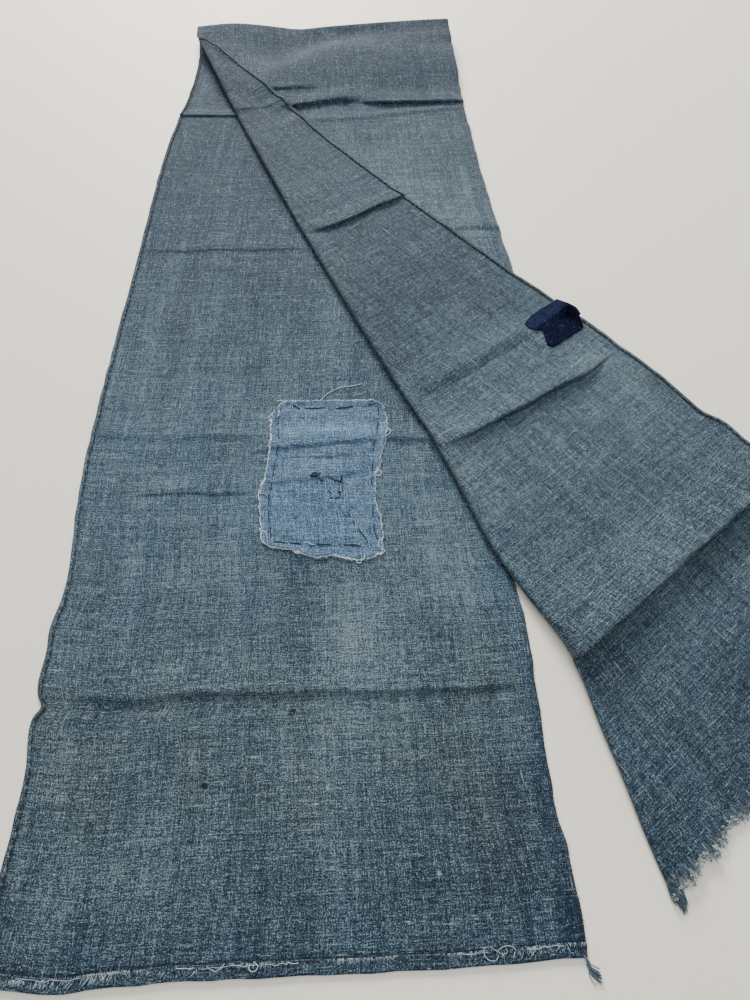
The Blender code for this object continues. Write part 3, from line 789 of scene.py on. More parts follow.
# Stops of faded indigo: place, linear colour. The greyed ramp is the worn, greenish shade,
# the blue one the fresher dye.
GREYED_INDIGO = (
    (0.00, 0.0058, 0.0118, 0.0166),
    (0.30, 0.0218, 0.0365, 0.0446),
    (0.55, 0.0490, 0.0745, 0.0855),
    (0.80, 0.1140, 0.1510, 0.1610),
    (1.00, 0.2130, 0.2620, 0.2680),
)
BLUE_INDIGO = (
    (0.00, 0.0036, 0.0093, 0.0202),
    (0.30, 0.0132, 0.0296, 0.0546),
    (0.55, 0.0320, 0.0635, 0.1010),
    (0.80, 0.0825, 0.1370, 0.1800),
    (1.00, 0.1710, 0.2400, 0.2780),
)

# How light and how blue each layer is along its length: partly the dye's own fading, partly
# painted light and shade, as of light from the far side. Columns: v or t, fade, blue.
NEAR_TONE = (
    (0.00, -0.07, 0.70),
    (0.07, -0.01, 0.40),
    (0.14, 0.02, 0.35),
    (0.26, 0.09, 0.70),
    (0.39, 0.11, 0.85),
    (0.52, 0.03, 0.70),
    (0.80, -0.17, 0.75),
    (1.10, -0.15, 0.75),
)
SECOND_TONE = (
    (0.00, -0.21, 0.70),
    (0.10, -0.17, 0.70),
    (0.22, -0.10, 0.60),
    (0.35, 0.09, 0.55),
    (0.60, 0.10, 0.50),
    (1.10, 0.00, 0.40),
)
FLAP_TONE = (
    (0.00, -0.26, 0.70),
    (0.20, -0.23, 0.70),
    (0.42, -0.08, 0.60),
    (0.60, -0.11, 0.60),
    (0.75, 0.10, 0.60),
    (0.90, 0.01, 0.55),
    (1.00, -0.08, 0.60),
    (1.10, -0.13, 0.85),
)

# Worn places of the near panel: u, v, half width, half length, fade.
WORN_PLACES = (
    (0.214, 0.150, 0.060, 0.110, 0.19),
    (0.220, 0.215, 0.040, 0.045, 0.12),
    (0.095, 0.060, 0.060, 0.040, 0.06),
    (0.310, 0.060, 0.090, 0.100, -0.11),
    (0.290, 0.165, 0.055, 0.060, -0.03),
    (0.332, 0.020, 0.016, 0.028, -0.18),
    (0.300, 0.270, 0.070, 0.080, 0.09),
    (0.060, 0.080, 0.080, 0.080, 0.08),
)
# Small stains and pale neps: u, v, radius, fade.
STAINS = (
    (0.1171, 0.1053, 0.0026, -0.95),
    (0.1722, 0.1506, 0.0030, -0.90),
    (0.2601, 0.0488, 0.0018, 0.90),
    (0.1960, 0.1010, 0.0014, 0.60),
    (0.1020, 0.1640, 0.0016, -0.40),
    (0.0420, 0.1550, 0.0016, -0.40),
    (0.0550, 0.0900, 0.0300, -0.10),
    (0.1350, 0.1250, 0.0260, -0.08),
    (0.0300, 0.0350, 0.0220, 0.09),
)
# The raw selvedge: how far in it starts to change, over what width, its fade and blueness.
SELVEDGE_BAND = (0.014, 0.006)
SELVEDGE_TONE = (-0.05, 0.45)
# The shadow above the near hem: its half width, its fade, how much of it goes and where.
HEM_SHADOW = 0.0017
HEM_SHADOW_FADE = -0.40
HEM_SHADOW_LOSS = (0.5, 0.110, 0.060)
TURNED_FADE = -0.06


def cloth_tones(u, v):
    """Fade and blueness of each point: layer tones, partly painted light, worn places, darker edges."""
    t = v - UPPER_STARTS
    on_flap = ease((turn_u(t) - u) / 0.004)
    fade_and_painted_light, blue = (
        curve(SECOND_TONE, column, t)
        + (curve(FLAP_TONE, column, t) - curve(SECOND_TONE, column, t)) * on_flap
        for column in (1, 2)
    )
    near = 1.0 - ease((v - NEAR_LENGTH) / FOLD_LENGTH)
    fade_and_painted_light = fade_and_painted_light + (curve(NEAR_TONE, 1, v) - fade_and_painted_light) * near
    blue = blue + (curve(NEAR_TONE, 2, v) - blue) * near
    for place_u, place_v, half_u, half_v, change in WORN_PLACES:
        distance = np.hypot((u - place_u) / half_u, (v - place_v) / half_v)
        fade_and_painted_light = fade_and_painted_light + change * bump(distance) * near
    selvedge = ease((u - (WIDTH - SELVEDGE_BAND[0])) / SELVEDGE_BAND[1])
    less, place_u, reach = HEM_SHADOW_LOSS
    shadow = bump((v - END_HEM - HEM_SHADOW) / HEM_SHADOW) * (1.0 - less * ease((u - place_u) / reach))
    turned_over = 1.0 - ease((v - END_HEM) / 0.0006)
    fade_and_painted_light = fade_and_painted_light + SELVEDGE_TONE[0] * selvedge + HEM_SHADOW_FADE * shadow
    return fade_and_painted_light + TURNED_FADE * turned_over, blue + SELVEDGE_TONE[1] * selvedge


row_v = cloth_rows()
grid_u = cloth_columns(row_v)
grid_v = np.broadcast_to(row_v[:, None], grid_u.shape)
fade_and_painted_light, blue = cloth_tones(np.abs(grid_u), np.abs(grid_v))
cloth = grid_mesh(
    "cloth",
    cloth_point(grid_u, grid_v),
    np.stack([grid_u, grid_v], axis=-1),
    {"fade_and_painted_light": fade_and_painted_light, "blue": np.clip(blue, 0.0, 1.0)},
)
thicken(cloth, THICKNESS)
PALE_NEP = (0.35, 0.42, 0.46, 1.0)
cloth.data.materials.append(
    woven_material("indigo_cotton", GREYED_INDIGO, BLUE_INDIGO, PALE_NEP, 1.0, 0.11, 0.21, STAINS)
)
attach(cloth, "root")
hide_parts("folded_cloth")


# Running stitches of the side hem and of the near one: dark indigo sewing thread, taken
# through the turned edge every few millimetres, a little unevenly.

SEWING_THREAD = 0.00046
STITCH_ARCH = 0.0002
STITCH_DIP = 0.0004
HEM_STITCH_PITCH = 0.0068
HEM_STITCH_SHARE = 0.66
HEM_STITCH_INSET = 0.0031
END_STITCH_PITCH = 0.0072
END_STITCH_THIN = 0.6
STITCH_STRAY = 0.0008


def thread_mesh(name, paths, radius, tones):
    """Threads as one mesh: a square tube along each path, with closed ends.

    paths is threads by points by 3, radius the same without the last, tones one a thread.
    At each point the ring stands square to the path, across it and upright.
    """
    along = np.gradient(paths, axis=1)
    along = along / np.maximum(np.linalg.norm(along, axis=-1, keepdims=True), 1e-9)
    side = np.cross(along, np.array([0.02, 0.03, 1.0]))
    side = side / np.linalg.norm(side, axis=-1, keepdims=True)
    up = np.cross(side, along)
    angle = math.pi * (np.arange(4) / 2.0 + 0.25)
    ring = np.cos(angle)[:, None] * side[:, :, None, :] + np.sin(angle)[:, None] * up[:, :, None, :]
    points = paths[:, :, None, :] + radius[:, :, None, None] * ring
    index = np.arange(paths.shape[0] * paths.shape[1] * 4).reshape(*paths.shape[:2], 4)
    turned = np.roll(index, -1, axis=2)
    walls = np.stack([index[:, :-1], index[:, 1:], turned[:, 1:], turned[:, :-1]], axis=-1)
    quads = np.concatenate([walls.reshape(-1, 4), index[:, 0], index[:, -1, ::-1]])
    mesh = bpy.data.meshes.new(name)
    mesh.from_pydata(points.reshape(-1, 3).tolist(), [], quads.tolist())
    mark_points(mesh, "tone", np.broadcast_to(np.asarray(tones)[:, None, None], points.shape[:3]))
    mesh.shade_smooth()
    return placed(name, mesh)


def thread_material(name, stops):
    """Cotton thread: its colour from its own tone, with flecks a thread's width apart."""
    material, tree, shader = new_material(name, 0.85, 0.25, 0.2)
    place = tree.nodes.new("ShaderNodeTexCoord")
    flecks = stretched_noise(tree, place.outputs["Object"], (1400.0, 1400.0, 1400.0), 1.0)
    tone = math_node(tree, "ADD", attribute_value(tree, "tone"), centred(tree, flecks, 0.5))
    tree.links.new(colour_ramp(tree, tone, stops), shader.inputs["Base Color"])
    return material


def sewn(start_u, start_v, end_u, end_v):
    """Paths of stitches laid on the cloth: straight between their ends, which dip into it.

    The middle of each stands proud by the arch, as half a sine wave.
    """
    s = np.linspace(0.0, 1.0, 7)
    u = start_u[:, None] + (end_u - start_u)[:, None] * s
    v = start_v[:, None] + (end_v - start_v)[:, None] * s
    lift = THICKNESS / 2.0 + SEWING_THREAD * 0.3 + STITCH_ARCH * np.sin(math.pi * s)
    lift = lift - STITCH_DIP * (np.abs(2.0 * s - 1.0) ** 6)
    return cloth_point(u, v, np.broadcast_to(lift, u.shape))


def tapered(radius, start, loss, s, count):
    """Radius along each of count threads: a share of it that shrinks evenly with s."""
    return radius * (start - loss * s) * np.ones((count, 1))


rng = np.random.default_rng(21)
starts = np.arange(0.006, STRIP_LENGTH - 0.010, HEM_STITCH_PITCH)
starts = starts + rng.uniform(-STITCH_STRAY, STITCH_STRAY, starts.size)
inset = HEM_STITCH_INSET + rng.uniform(-0.0004, 0.0004, (2, starts.size))
ends = starts + HEM_STITCH_PITCH * HEM_STITCH_SHARE * rng.uniform(0.75, 1.2, starts.size)
paths = sewn(-inset[0], starts, -inset[1], ends)
radius = np.full(paths.shape[:2], SEWING_THREAD)
hem_stitches = thread_mesh("hem_stitches", paths, radius, rng.uniform(0.0, 0.45, starts.size))
starts = np.arange(0.004, WIDTH - 0.008, END_STITCH_PITCH)
starts = starts + rng.uniform(-STITCH_STRAY, STITCH_STRAY, starts.size)
inset = END_HEM + 0.0009 + rng.uniform(-0.0003, 0.0003, (2, starts.size))
ends = starts + END_STITCH_PITCH * rng.uniform(0.70, 0.95, starts.size)
paths = sewn(starts, inset[0], ends, inset[1])
radius = np.full(paths.shape[:2], END_STITCH_THIN * SEWING_THREAD)
end_stitches = thread_mesh("end_hem_stitches", paths, radius, rng.uniform(0.0, 0.6, starts.size))
DARK_THREAD = thread_material(
    "dark_sewing_thread",
    ((0.0, 0.003, 0.005, 0.010), (0.5, 0.007, 0.012, 0.023), (1.0, 0.030, 0.050, 0.075)),
)
for threads in (hem_stitches, end_stitches):
    threads.data.materials.append(DARK_THREAD)
    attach(threads, "root")


# Threads of the near hem: the raw edge that was turned over shows as a pale, broken line
# of weft threads, with the cut warp ends standing out of it and a few loops left loose.

END_THREAD_PIECES = 12
END_THREAD_LENGTHS = (0.006, 0.024)
END_THREAD_RADII = (0.00018, 0.00030)
END_FRAYS = 1100
END_FRAY_LENGTHS = (0.0010, 0.0038)
FRAY_RADIUS = 0.00016
STROKE_RADIUS = 0.00025
LOOSE_THREAD = 0.00026
# Loose loops: points of u and of the distance in from the end, which counts below zero,
# one after another.
END_LOOPS = (
    (0.282, -0.0078, 0.2822, -0.0045, 0.2845, -0.0022, 0.2880, -0.0018, 0.2900, -0.0042),
    (0.286, -0.0085, 0.2890, -0.0065, 0.2925, -0.0048, 0.2950, -0.0060, 0.2940, -0.0084),
    (0.289, -0.0060, 0.2915, -0.0080, 0.2950, -0.0090, 0.2985, -0.0080, 0.3000, -0.0062),
    (0.128, -0.0070, 0.1310, -0.0050, 0.1340, -0.0042, 0.1365, -0.0055, 0.1380, -0.0075),
    (0.154, -0.0080, 0.1565, -0.0060, 0.1555, -0.0036, 0.1525, -0.0036, 0.1515, -0.0062),
)
# Where the cut warp ends stand thickest on the hem: from u to u.
STROKE_CLUMPS = ((0.021, 0.029), (0.036, 0.046), (0.0485, 0.077), (0.090, 0.140), (0.292, 0.334))
STROKES_IN_CLUMP = 26
STROKE_STARTS = (0.0002, 0.0026)
STROKE_LENGTHS = (0.0014, 0.0032)
# Tuft that hangs off the near right corner: reach in x and y, spread of its ends.
CORNER_TUFT_REACH = (0.0060, -0.0125)
CORNER_TUFT_SPREAD = 0.0009
CORNER_TUFT_THREADS = 26


def rounded(points, count):
    """A route through a few points, u and v in turn, as count points on smooth curves."""
    points = np.reshape(points, (-1, 2))
    place = np.linspace(0.0, len(points) - 1.0, count)
    rows = np.column_stack([np.arange(len(points)), points])
    return np.stack([curve(rows, column, place) for column in range(1, rows.shape[1])], axis=-1)


rng = np.random.default_rng(22)
s = np.linspace(0.0, 1.0, 18)
length = rng.uniform(*END_THREAD_LENGTHS, END_THREAD_PIECES)
start = rng.uniform(0.002, WIDTH - 0.006, END_THREAD_PIECES)
edge_u = np.minimum(start[:, None] + length[:, None] * s, WIDTH)
number = np.arange(END_THREAD_PIECES)[:, None]
edge_v = -END_HEM + 0.0007 * (1.0 + waver(edge_u + 0.37 * number, 0.0032, 23))
lift = THICKNESS / 2.0 + 0.0002 + 0.0003 * (1.0 + waver(edge_u + 0.21 * number, 0.0040, 24))
edge_paths = cloth_point(edge_u, edge_v, lift)
edge_radius = rng.uniform(*END_THREAD_RADII, END_THREAD_PIECES)[:, None]
edge_radius = np.broadcast_to(edge_radius, edge_u.shape)
s = np.linspace(0.0, 1.0, 5)
fray_u = rng.uniform(0.001, WIDTH - 0.001, END_FRAYS)[:, None]
dense = ease(0.5 + 0.9 * waver(fray_u, 0.017, 27))
length = rng.uniform(*END_FRAY_LENGTHS, END_FRAYS)[:, None] * (0.25 + 0.85 * dense)
splay = rng.normal(0.15, 0.35, END_FRAYS)[:, None]
u = fray_u + length * splay * s
v = -END_HEM - 0.0006 + length * s
lift = THICKNESS / 2.0 + 0.0002 + 0.0005 * rng.random(END_FRAYS)[:, None] * np.sin(math.pi * s * 0.8)
fray_paths = cloth_point(np.clip(u, 0.0008, WIDTH), np.minimum(v, -0.0008), lift)
clumps = np.repeat(np.array(STROKE_CLUMPS), STROKES_IN_CLUMP, axis=0)
stroke_u = clumps[:, :1] + (clumps[:, 1:] - clumps[:, :1]) * rng.random((len(clumps), 1))
stroke_v = -END_HEM + rng.uniform(*STROKE_STARTS, (len(clumps), 1))
stroke_length = rng.uniform(*STROKE_LENGTHS, (len(clumps), 1))
stroke_lean = rng.normal(-0.35, 0.30, (len(clumps), 1))
stroke_lift = THICKNESS / 2.0 + 0.0002 + 0.0003 * np.sin(math.pi * s) * rng.random((len(clumps), 1))
stroke_u = stroke_u + stroke_length * stroke_lean * s
stroke_v = np.minimum(stroke_v + stroke_length * s, -0.0008)
stroke_paths = cloth_point(stroke_u, stroke_v, stroke_lift)
loops = np.array([rounded(points, 14) for points in END_LOOPS])
loop_lift = THICKNESS / 2.0 + 0.0004 + 0.0006 * np.sin(math.pi * np.linspace(0.0, 1.0, 14))
loop_paths = cloth_point(loops[..., 0], loops[..., 1], np.broadcast_to(loop_lift, loops.shape[:2]))
hang = np.linspace(0.0, 1.0, 10)
knot = cloth_point(WIDTH - 0.002, 0.0012, 0.0006)
sway = CORNER_TUFT_SPREAD * rng.normal(size=(CORNER_TUFT_THREADS, 3, 1)) * hang
curl = 0.0017 * np.sin(6.5 * hang + rng.uniform(0.0, 1.5, (CORNER_TUFT_THREADS, 1))) * hang
reach = CORNER_TUFT_REACH[1] * hang * rng.uniform(0.6, 1.1, (CORNER_TUFT_THREADS, 1))
tuft_x = knot[0] + CORNER_TUFT_REACH[0] * hang + sway[:, 0] + curl
tuft_y = knot[1] + reach + sway[:, 1]
tuft_z = np.maximum(knot[2] * (1.0 - ease(1.6 * hang)) + 0.0006 + 0.5 * np.abs(sway[:, 2]), 0.0004)
tuft_paths = np.stack([tuft_x, tuft_y, tuft_z], axis=-1)
PALE_THREAD = thread_material(
    "pale_frayed_thread",
    (
        (0.0, 0.022, 0.040, 0.060),
        (0.35, 0.090, 0.140, 0.175),
        (0.7, 0.320, 0.400, 0.445),
        (1.0, 0.640, 0.720, 0.750),
    ),
)
edge_tones = rng.uniform(0.45, 1.0, END_THREAD_PIECES)
fray_tones = rng.uniform(0.10, 0.90, END_FRAYS) * (0.6 + 0.4 * dense[:, 0])
stroke_tones = rng.uniform(0.30, 0.90, len(clumps))
loop_tones = rng.uniform(0.5, 0.95, len(loops))
tuft_tones = rng.uniform(0.0, 0.45, CORNER_TUFT_THREADS)
fray_radius = tapered(FRAY_RADIUS, 1.1, 0.6, s, END_FRAYS)
stroke_radius = tapered(STROKE_RADIUS, 1.0, 0.4, s, len(clumps))
loop_radius = np.full(loops.shape[:2], LOOSE_THREAD)
tuft_radius = np.full(tuft_paths.shape[:2], LOOSE_THREAD)
groups = (
    ("end_hem_edge", edge_paths, edge_radius, edge_tones),
    ("end_hem_frays", fray_paths, fray_radius, fray_tones),
    ("end_hem_strokes", stroke_paths, stroke_radius, stroke_tones),
    ("end_hem_loops", loop_paths, loop_radius, loop_tones),
    ("corner_tuft", tuft_paths, tuft_radius, tuft_tones),
)
for name, paths, radius, tones in groups:
    threads = thread_mesh(name, paths, radius, tones)
    threads.data.materials.append(PALE_THREAD)
    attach(threads, "root")


# Fuzz of the raw side edge and of the rolled one: short broken weft ends of the same yarn.

SELVEDGE_FRAYS = 1500
SELVEDGE_FRAY_LENGTHS = (0.0004, 0.0019)
SELVEDGE_FRAY_RADIUS = 0.00013
HEM_FRAYS = 700
HEM_FRAY_LENGTHS = (0.0004, 0.0016)
HEM_FRAY_RADIUS = 0.00012

rng = np.random.default_rng(31)
s = np.linspace(0.0, 1.0, 4)
v = rng.uniform(0.002, STRIP_LENGTH, SELVEDGE_FRAYS)[:, None]
length = rng.uniform(*SELVEDGE_FRAY_LENGTHS, SELVEDGE_FRAYS)[:, None]
splay = rng.uniform(-1.0, 1.0, SELVEDGE_FRAYS)[:, None]
paths = cloth_point(WIDTH - 0.0006 + length * s, v + length * splay * s * s, 0.0002 * s * splay)
radius = tapered(SELVEDGE_FRAY_RADIUS, 1.0, 0.5, s, SELVEDGE_FRAYS)
tones = rng.uniform(0.0, 0.6, SELVEDGE_FRAYS)
selvedge_frays = thread_mesh("selvedge_frays", paths, radius, tones)
v = rng.uniform(0.012, STRIP_LENGTH, HEM_FRAYS)[:, None]
length = rng.uniform(*HEM_FRAY_LENGTHS, HEM_FRAYS)[:, None]
splay = rng.uniform(-1.0, 1.0, HEM_FRAYS)[:, None]
lift = THICKNESS / 2.0 + 0.0003 * s
paths = cloth_point(-SIDE_HEM + 0.0002 - length * s, v + length * splay * s, lift)
radius = tapered(HEM_FRAY_RADIUS, 1.0, 0.5, s, HEM_FRAYS)
hem_frays = thread_mesh("hem_frays", paths, radius, rng.uniform(0.1, 0.8, HEM_FRAYS))
EDGE_THREAD = thread_material(
    "indigo_yarn",
    (
        (0.0, 0.014, 0.027, 0.046),
        (0.4, 0.040, 0.070, 0.100),
        (0.75, 0.130, 0.180, 0.215),
        (1.0, 0.380, 0.440, 0.460),
    ),
)
for threads in (selvedge_frays, hem_frays):
    threads.data.materials.append(EDGE_THREAD)
    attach(threads, "root")


# The frayed far end: the last wefts have come out, and the bare warp ends cling together
# in small tufts, light and dark blue, with pale curled tips and a longer tuft at the corner.

FRINGE_THREADS = 1500
FRINGE_LENGTH = 0.0088
FRINGE_RADIUS = 0.00024
CURLED_ENDS = 620
CURL_THICKER = 1.6
CURL_SIZES = (0.0004, 0.0011)
TUFT_SPACING = 0.0048
TIP_THREADS = 90
TIP_LENGTHS = (0.008, 0.016)
# How near the strip's side hem, and how far past its selvedge, the threads may come.
FRINGE_BOUNDS = (0.0005, WIDTH + 0.004)
FLOOR_CLEARANCE = 0.0003

rng = np.random.default_rng(41)
s = np.linspace(0.0, 1.0, 10)
u = np.sort(rng.uniform(0.0006, WIDTH - 0.0006, FRINGE_THREADS))[:, None]
number = np.floor(u / TUFT_SPACING)
tuft = (number + 0.5) * TUFT_SPACING + 0.0016 * waver(number, 1.0, 42)
long = 0.55 + 0.45 * waver(u, TUFT_SPACING * 0.9, 43)
length = FRINGE_LENGTH * long * rng.uniform(0.70, 1.1, FRINGE_THREADS)[:, None]
start = STRIP_LENGTH - rng.uniform(0.0004, 0.0050, FRINGE_THREADS)[:, None]
pull = 0.55 * (tuft - u) + 0.0011 * rng.normal(size=(FRINGE_THREADS, 1))
wave = 0.0007 * np.sin(10.0 * s + rng.uniform(0.0, 6.3, (FRINGE_THREADS, 1)))
thread_u = np.clip(u + pull * ease(s) + wave * s, *FRINGE_BOUNDS)
thread_v = start + (length + 0.003) * s
thread_lift = THICKNESS / 2.0 + 0.0010 * rng.random((FRINGE_THREADS, 1)) * np.sin(math.pi * s * 0.8)
fringe_paths = cloth_point(thread_u, thread_v, thread_lift)
picked = rng.integers(0, FRINGE_THREADS, CURLED_ENDS)
curl_turn = rng.uniform(0.0, 6.3, (CURLED_ENDS, 1)) + 5.0 * s
curl_size = rng.uniform(*CURL_SIZES, (CURLED_ENDS, 1)) * ease(3.0 * s)
curl_u = thread_u[picked, 7:8] + 0.0008 * rng.normal(size=(CURLED_ENDS, 1)) + curl_size * np.sin(curl_turn)
curl_v = thread_v[picked, 7:8] + 0.0006 * s + curl_size * np.cos(curl_turn)
curl_lift = THICKNESS / 2.0 + 0.0006 + 0.0008 * rng.random((CURLED_ENDS, 1)) * s
curl_paths = cloth_point(np.clip(curl_u, *FRINGE_BOUNDS), curl_v, curl_lift)
tip_u = WIDTH - rng.uniform(0.0, 0.010, TIP_THREADS)[:, None]
tip_length = rng.uniform(*TIP_LENGTHS, TIP_THREADS)[:, None]
tip_u = tip_u + (WIDTH + 0.0010 - tip_u) * 0.8 * s + 0.0012 * rng.normal(size=(TIP_THREADS, 1)) * s
tip_v = STRIP_LENGTH - 0.003 + tip_length * s
tip_paths = cloth_point(tip_u, tip_v, THICKNESS / 2.0 + 0.0012 * rng.random((TIP_THREADS, 1)) * s)
paths = np.concatenate([fringe_paths, tip_paths, curl_paths])
paths[..., 2] = np.maximum(paths[..., 2], FLOOR_CLEARANCE)
radius = tapered(FRINGE_RADIUS, 1.15, 0.75, s, len(paths))
radius[-CURLED_ENDS:] = CURL_THICKER * radius[-CURLED_ENDS:]
tones = np.clip(rng.normal(0.38, 0.22, len(paths)), 0.0, 1.0)
tones[-CURLED_ENDS:] = rng.uniform(0.60, 1.1, CURLED_ENDS)
fringe = thread_mesh("fringe", paths, radius, tones)
fringe.data.materials.append(EDGE_THREAD)
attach(fringe, "root")
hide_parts("frayed_end")


# The pale patch: light blue plain-weave cotton laid over a worn place of the near panel
# and sewn down all round with dark running stitches. Its cut edges have frayed white.

PATCH_THICKNESS = 0.0005
PATCH_LIFT = 0.0008
PATCH_SWELL = 0.0011
PATCH_SWELL_STEP = 0.008
PATCH_CURL = 0.0007
# Across and along it between its edges, and the line of its stitches: how far in, how wide.
PATCH_SPAN = (0.100, 0.155)
PATCH_SEAM = (0.0075, 0.0045)
# Its two sides: v, left u, right u.
PATCH_SIDES = (
    (0.266, 0.1500, 0.2430),
    (0.284, 0.1492, 0.2452),
    (0.301, 0.1490, 0.2452),
    (0.312, 0.1487, 0.2430),
    (0.330, 0.1488, 0.2432),
    (0.342, 0.1516, 0.2442),
    (0.352, 0.1538, 0.2482),
    (0.365, 0.1548, 0.2495),
    (0.380, 0.1553, 0.2520),
    (0.398, 0.1557, 0.2550),
    (0.414, 0.1545, 0.2555),
    (0.430, 0.1560, 0.2535),
)
# Its two ends: u, near v, far v.
PATCH_ENDS = (
    (0.148, 0.2870, 0.4060),
    (0.153, 0.2830, 0.4140),
    (0.158, 0.2810, 0.4210),
    (0.163, 0.2793, 0.4282),
    (0.175, 0.2768, 0.4293),
    (0.189, 0.2708, 0.4296),
    (0.204, 0.2716, 0.4293),
    (0.220, 0.2674, 0.4288),
    (0.236, 0.2700, 0.4283),
    (0.246, 0.2745, 0.4278),
    (0.251, 0.2790, 0.4230),
    (0.256, 0.2860, 0.4140),
)


def patch_place(a, b):
    """Place on the cloth of a point of the patch, a across it and b along it, 0 to 1 each."""
    level = PATCH_SIDES[0][0] + (PATCH_SIDES[-1][0] - PATCH_SIDES[0][0]) * b
    left, right = curve(PATCH_SIDES, 1, level), curve(PATCH_SIDES, 2, level)
    u = left + (right - left) * a
    near, far = curve(PATCH_ENDS, 1, u), curve(PATCH_ENDS, 2, u)
    v = near + (far - near) * b
    ragged = 0.0007 * waver(v, 0.0021, 51) * (bump(a / 0.03) - bump((1.0 - a) / 0.03))
    torn = 0.0006 * waver(u, 0.0023, 52) * (bump(b / 0.02) - bump((1.0 - b) / 0.02))
    return u + ragged, v + torn


def patch_point(a, b):
    """Point of the patch: on the cloth's face, puffed up a little between its stitches."""
    u, v = patch_place(a, b)
    across = np.minimum(a, 1.0 - a) * PATCH_SPAN[0]
    edge = np.minimum(across, np.minimum(b, 1.0 - b) * PATCH_SPAN[1])
    sewn_down = bump((edge - PATCH_SEAM[0]) / PATCH_SEAM[1])
    puff = PATCH_SWELL * swell(u, v, PATCH_SWELL_STEP, 53) * (1.0 - 0.8 * sewn_down)
    curl = PATCH_CURL * (0.5 + 0.5 * waver(u + v, 0.008, 54)) * bump(edge / 0.004)
    return cloth_point(u, v, PATCH_LIFT + puff + curl)


a, b = np.meshgrid(np.linspace(0.0, 1.0, 86), np.linspace(0.0, 1.0, 131))
patch_u, patch_v = patch_place(a, b)
# A lighter band near its far end, a painted highlight along a ridge, and the dark line of a
# pucker across its middle, which is painted shade.
ridge_painted_highlight = 0.16 * bump((patch_v - 0.396) / 0.012)
pucker_v = 0.3665 + 0.0010 * waver(patch_u, 0.004, 55)
pucker_painted_shade = 0.50 * bump((patch_v - pucker_v) / 0.0024)
pucker_painted_shade = pucker_painted_shade * ease(0.5 + waver(patch_u, 0.0035, 56)) * bump((patch_u - 0.202) / 0.042)
patch = grid_mesh(
    "pale_patch_cloth",
    patch_point(a, b),
    np.stack([patch_u * 1.02 + 0.4, patch_v * 1.02 + 0.02 * patch_u], axis=-1),
    {"fade_and_painted_light": ridge_painted_highlight - pucker_painted_shade, "blue": 0.70 + 2.0 * ridge_painted_highlight},
)
thicken(patch, PATCH_THICKNESS)
PATCH_BLUE = (
    (0.00, 0.008, 0.022, 0.050),
    (0.30, 0.028, 0.066, 0.130),
    (0.55, 0.064, 0.130, 0.225),
    (0.80, 0.150, 0.245, 0.350),
    (1.00, 0.290, 0.390, 0.470),
)
PATCH_GREY = (
    (0.00, 0.012, 0.024, 0.040),
    (0.30, 0.036, 0.066, 0.104),
    (0.55, 0.076, 0.128, 0.184),
    (0.80, 0.165, 0.235, 0.300),
    (1.00, 0.290, 0.370, 0.420),
)
PATCH_NEP = (0.46, 0.56, 0.62, 1.0)
patch.data.materials.append(
    woven_material("light_blue_cotton", PATCH_GREY, PATCH_BLUE, PATCH_NEP, 0.6, 0.2, 0.2)
)
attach(patch, "root")
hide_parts("pale_patch")


# Stitches that hold the patch: long and uneven ones round its border, and an old darn with
# its knots inside, all of the dark sewing thread, worked by hand.

PATCH_STITCH_RADIUS = 0.00052
# u, v of the start, u, v of the end.
PATCH_STITCHES = (
    (0.1720, 0.4265, 0.1786, 0.4205),
    (0.1829, 0.4210, 0.2023, 0.4211),
    (0.2099, 0.4201, 0.2263, 0.4222),
    (0.2384, 0.4234, 0.2462, 0.4241),
    (0.1604, 0.4134, 0.1606, 0.4031),
    (0.1611, 0.3993, 0.1626, 0.3872),
    (0.1629, 0.3818, 0.1606, 0.3703),
    (0.1601, 0.3632, 0.1594, 0.3478),
    (0.1581, 0.3430, 0.1574, 0.3327),
    (0.1564, 0.3303, 0.1560, 0.3182),
    (0.1560, 0.3142, 0.1561, 0.3047),
    (0.1568, 0.2993, 0.1569, 0.2885),
    (0.1579, 0.2847, 0.1689, 0.2839),
    (0.1715, 0.2835, 0.1806, 0.2825),
    (0.1909, 0.2818, 0.2051, 0.2805),
    (0.2129, 0.2807, 0.2278, 0.2791),
    (0.2486, 0.4211, 0.2482, 0.4115),
    (0.2476, 0.4039, 0.2465, 0.3908),
    (0.2449, 0.3856, 0.2435, 0.3709),
    (0.2423, 0.3585, 0.2417, 0.3507),
    (0.2414, 0.3447, 0.2404, 0.3346),
    (0.2403, 0.3330, 0.2397, 0.3231),
    (0.2398, 0.3183, 0.2393, 0.3056),
    (0.2392, 0.2994, 0.2404, 0.2834),
    (0.2262, 0.2960, 0.2337, 0.2802),
    (0.2193, 0.3111, 0.2217, 0.3055),
    (0.2225, 0.3031, 0.2243, 0.2984),
    (0.2182, 0.3167, 0.2186, 0.3127),
    (0.2164, 0.3485, 0.2164, 0.3389),
    (0.2164, 0.3364, 0.2163, 0.3306),
    (0.2162, 0.3273, 0.2162, 0.3224),
)
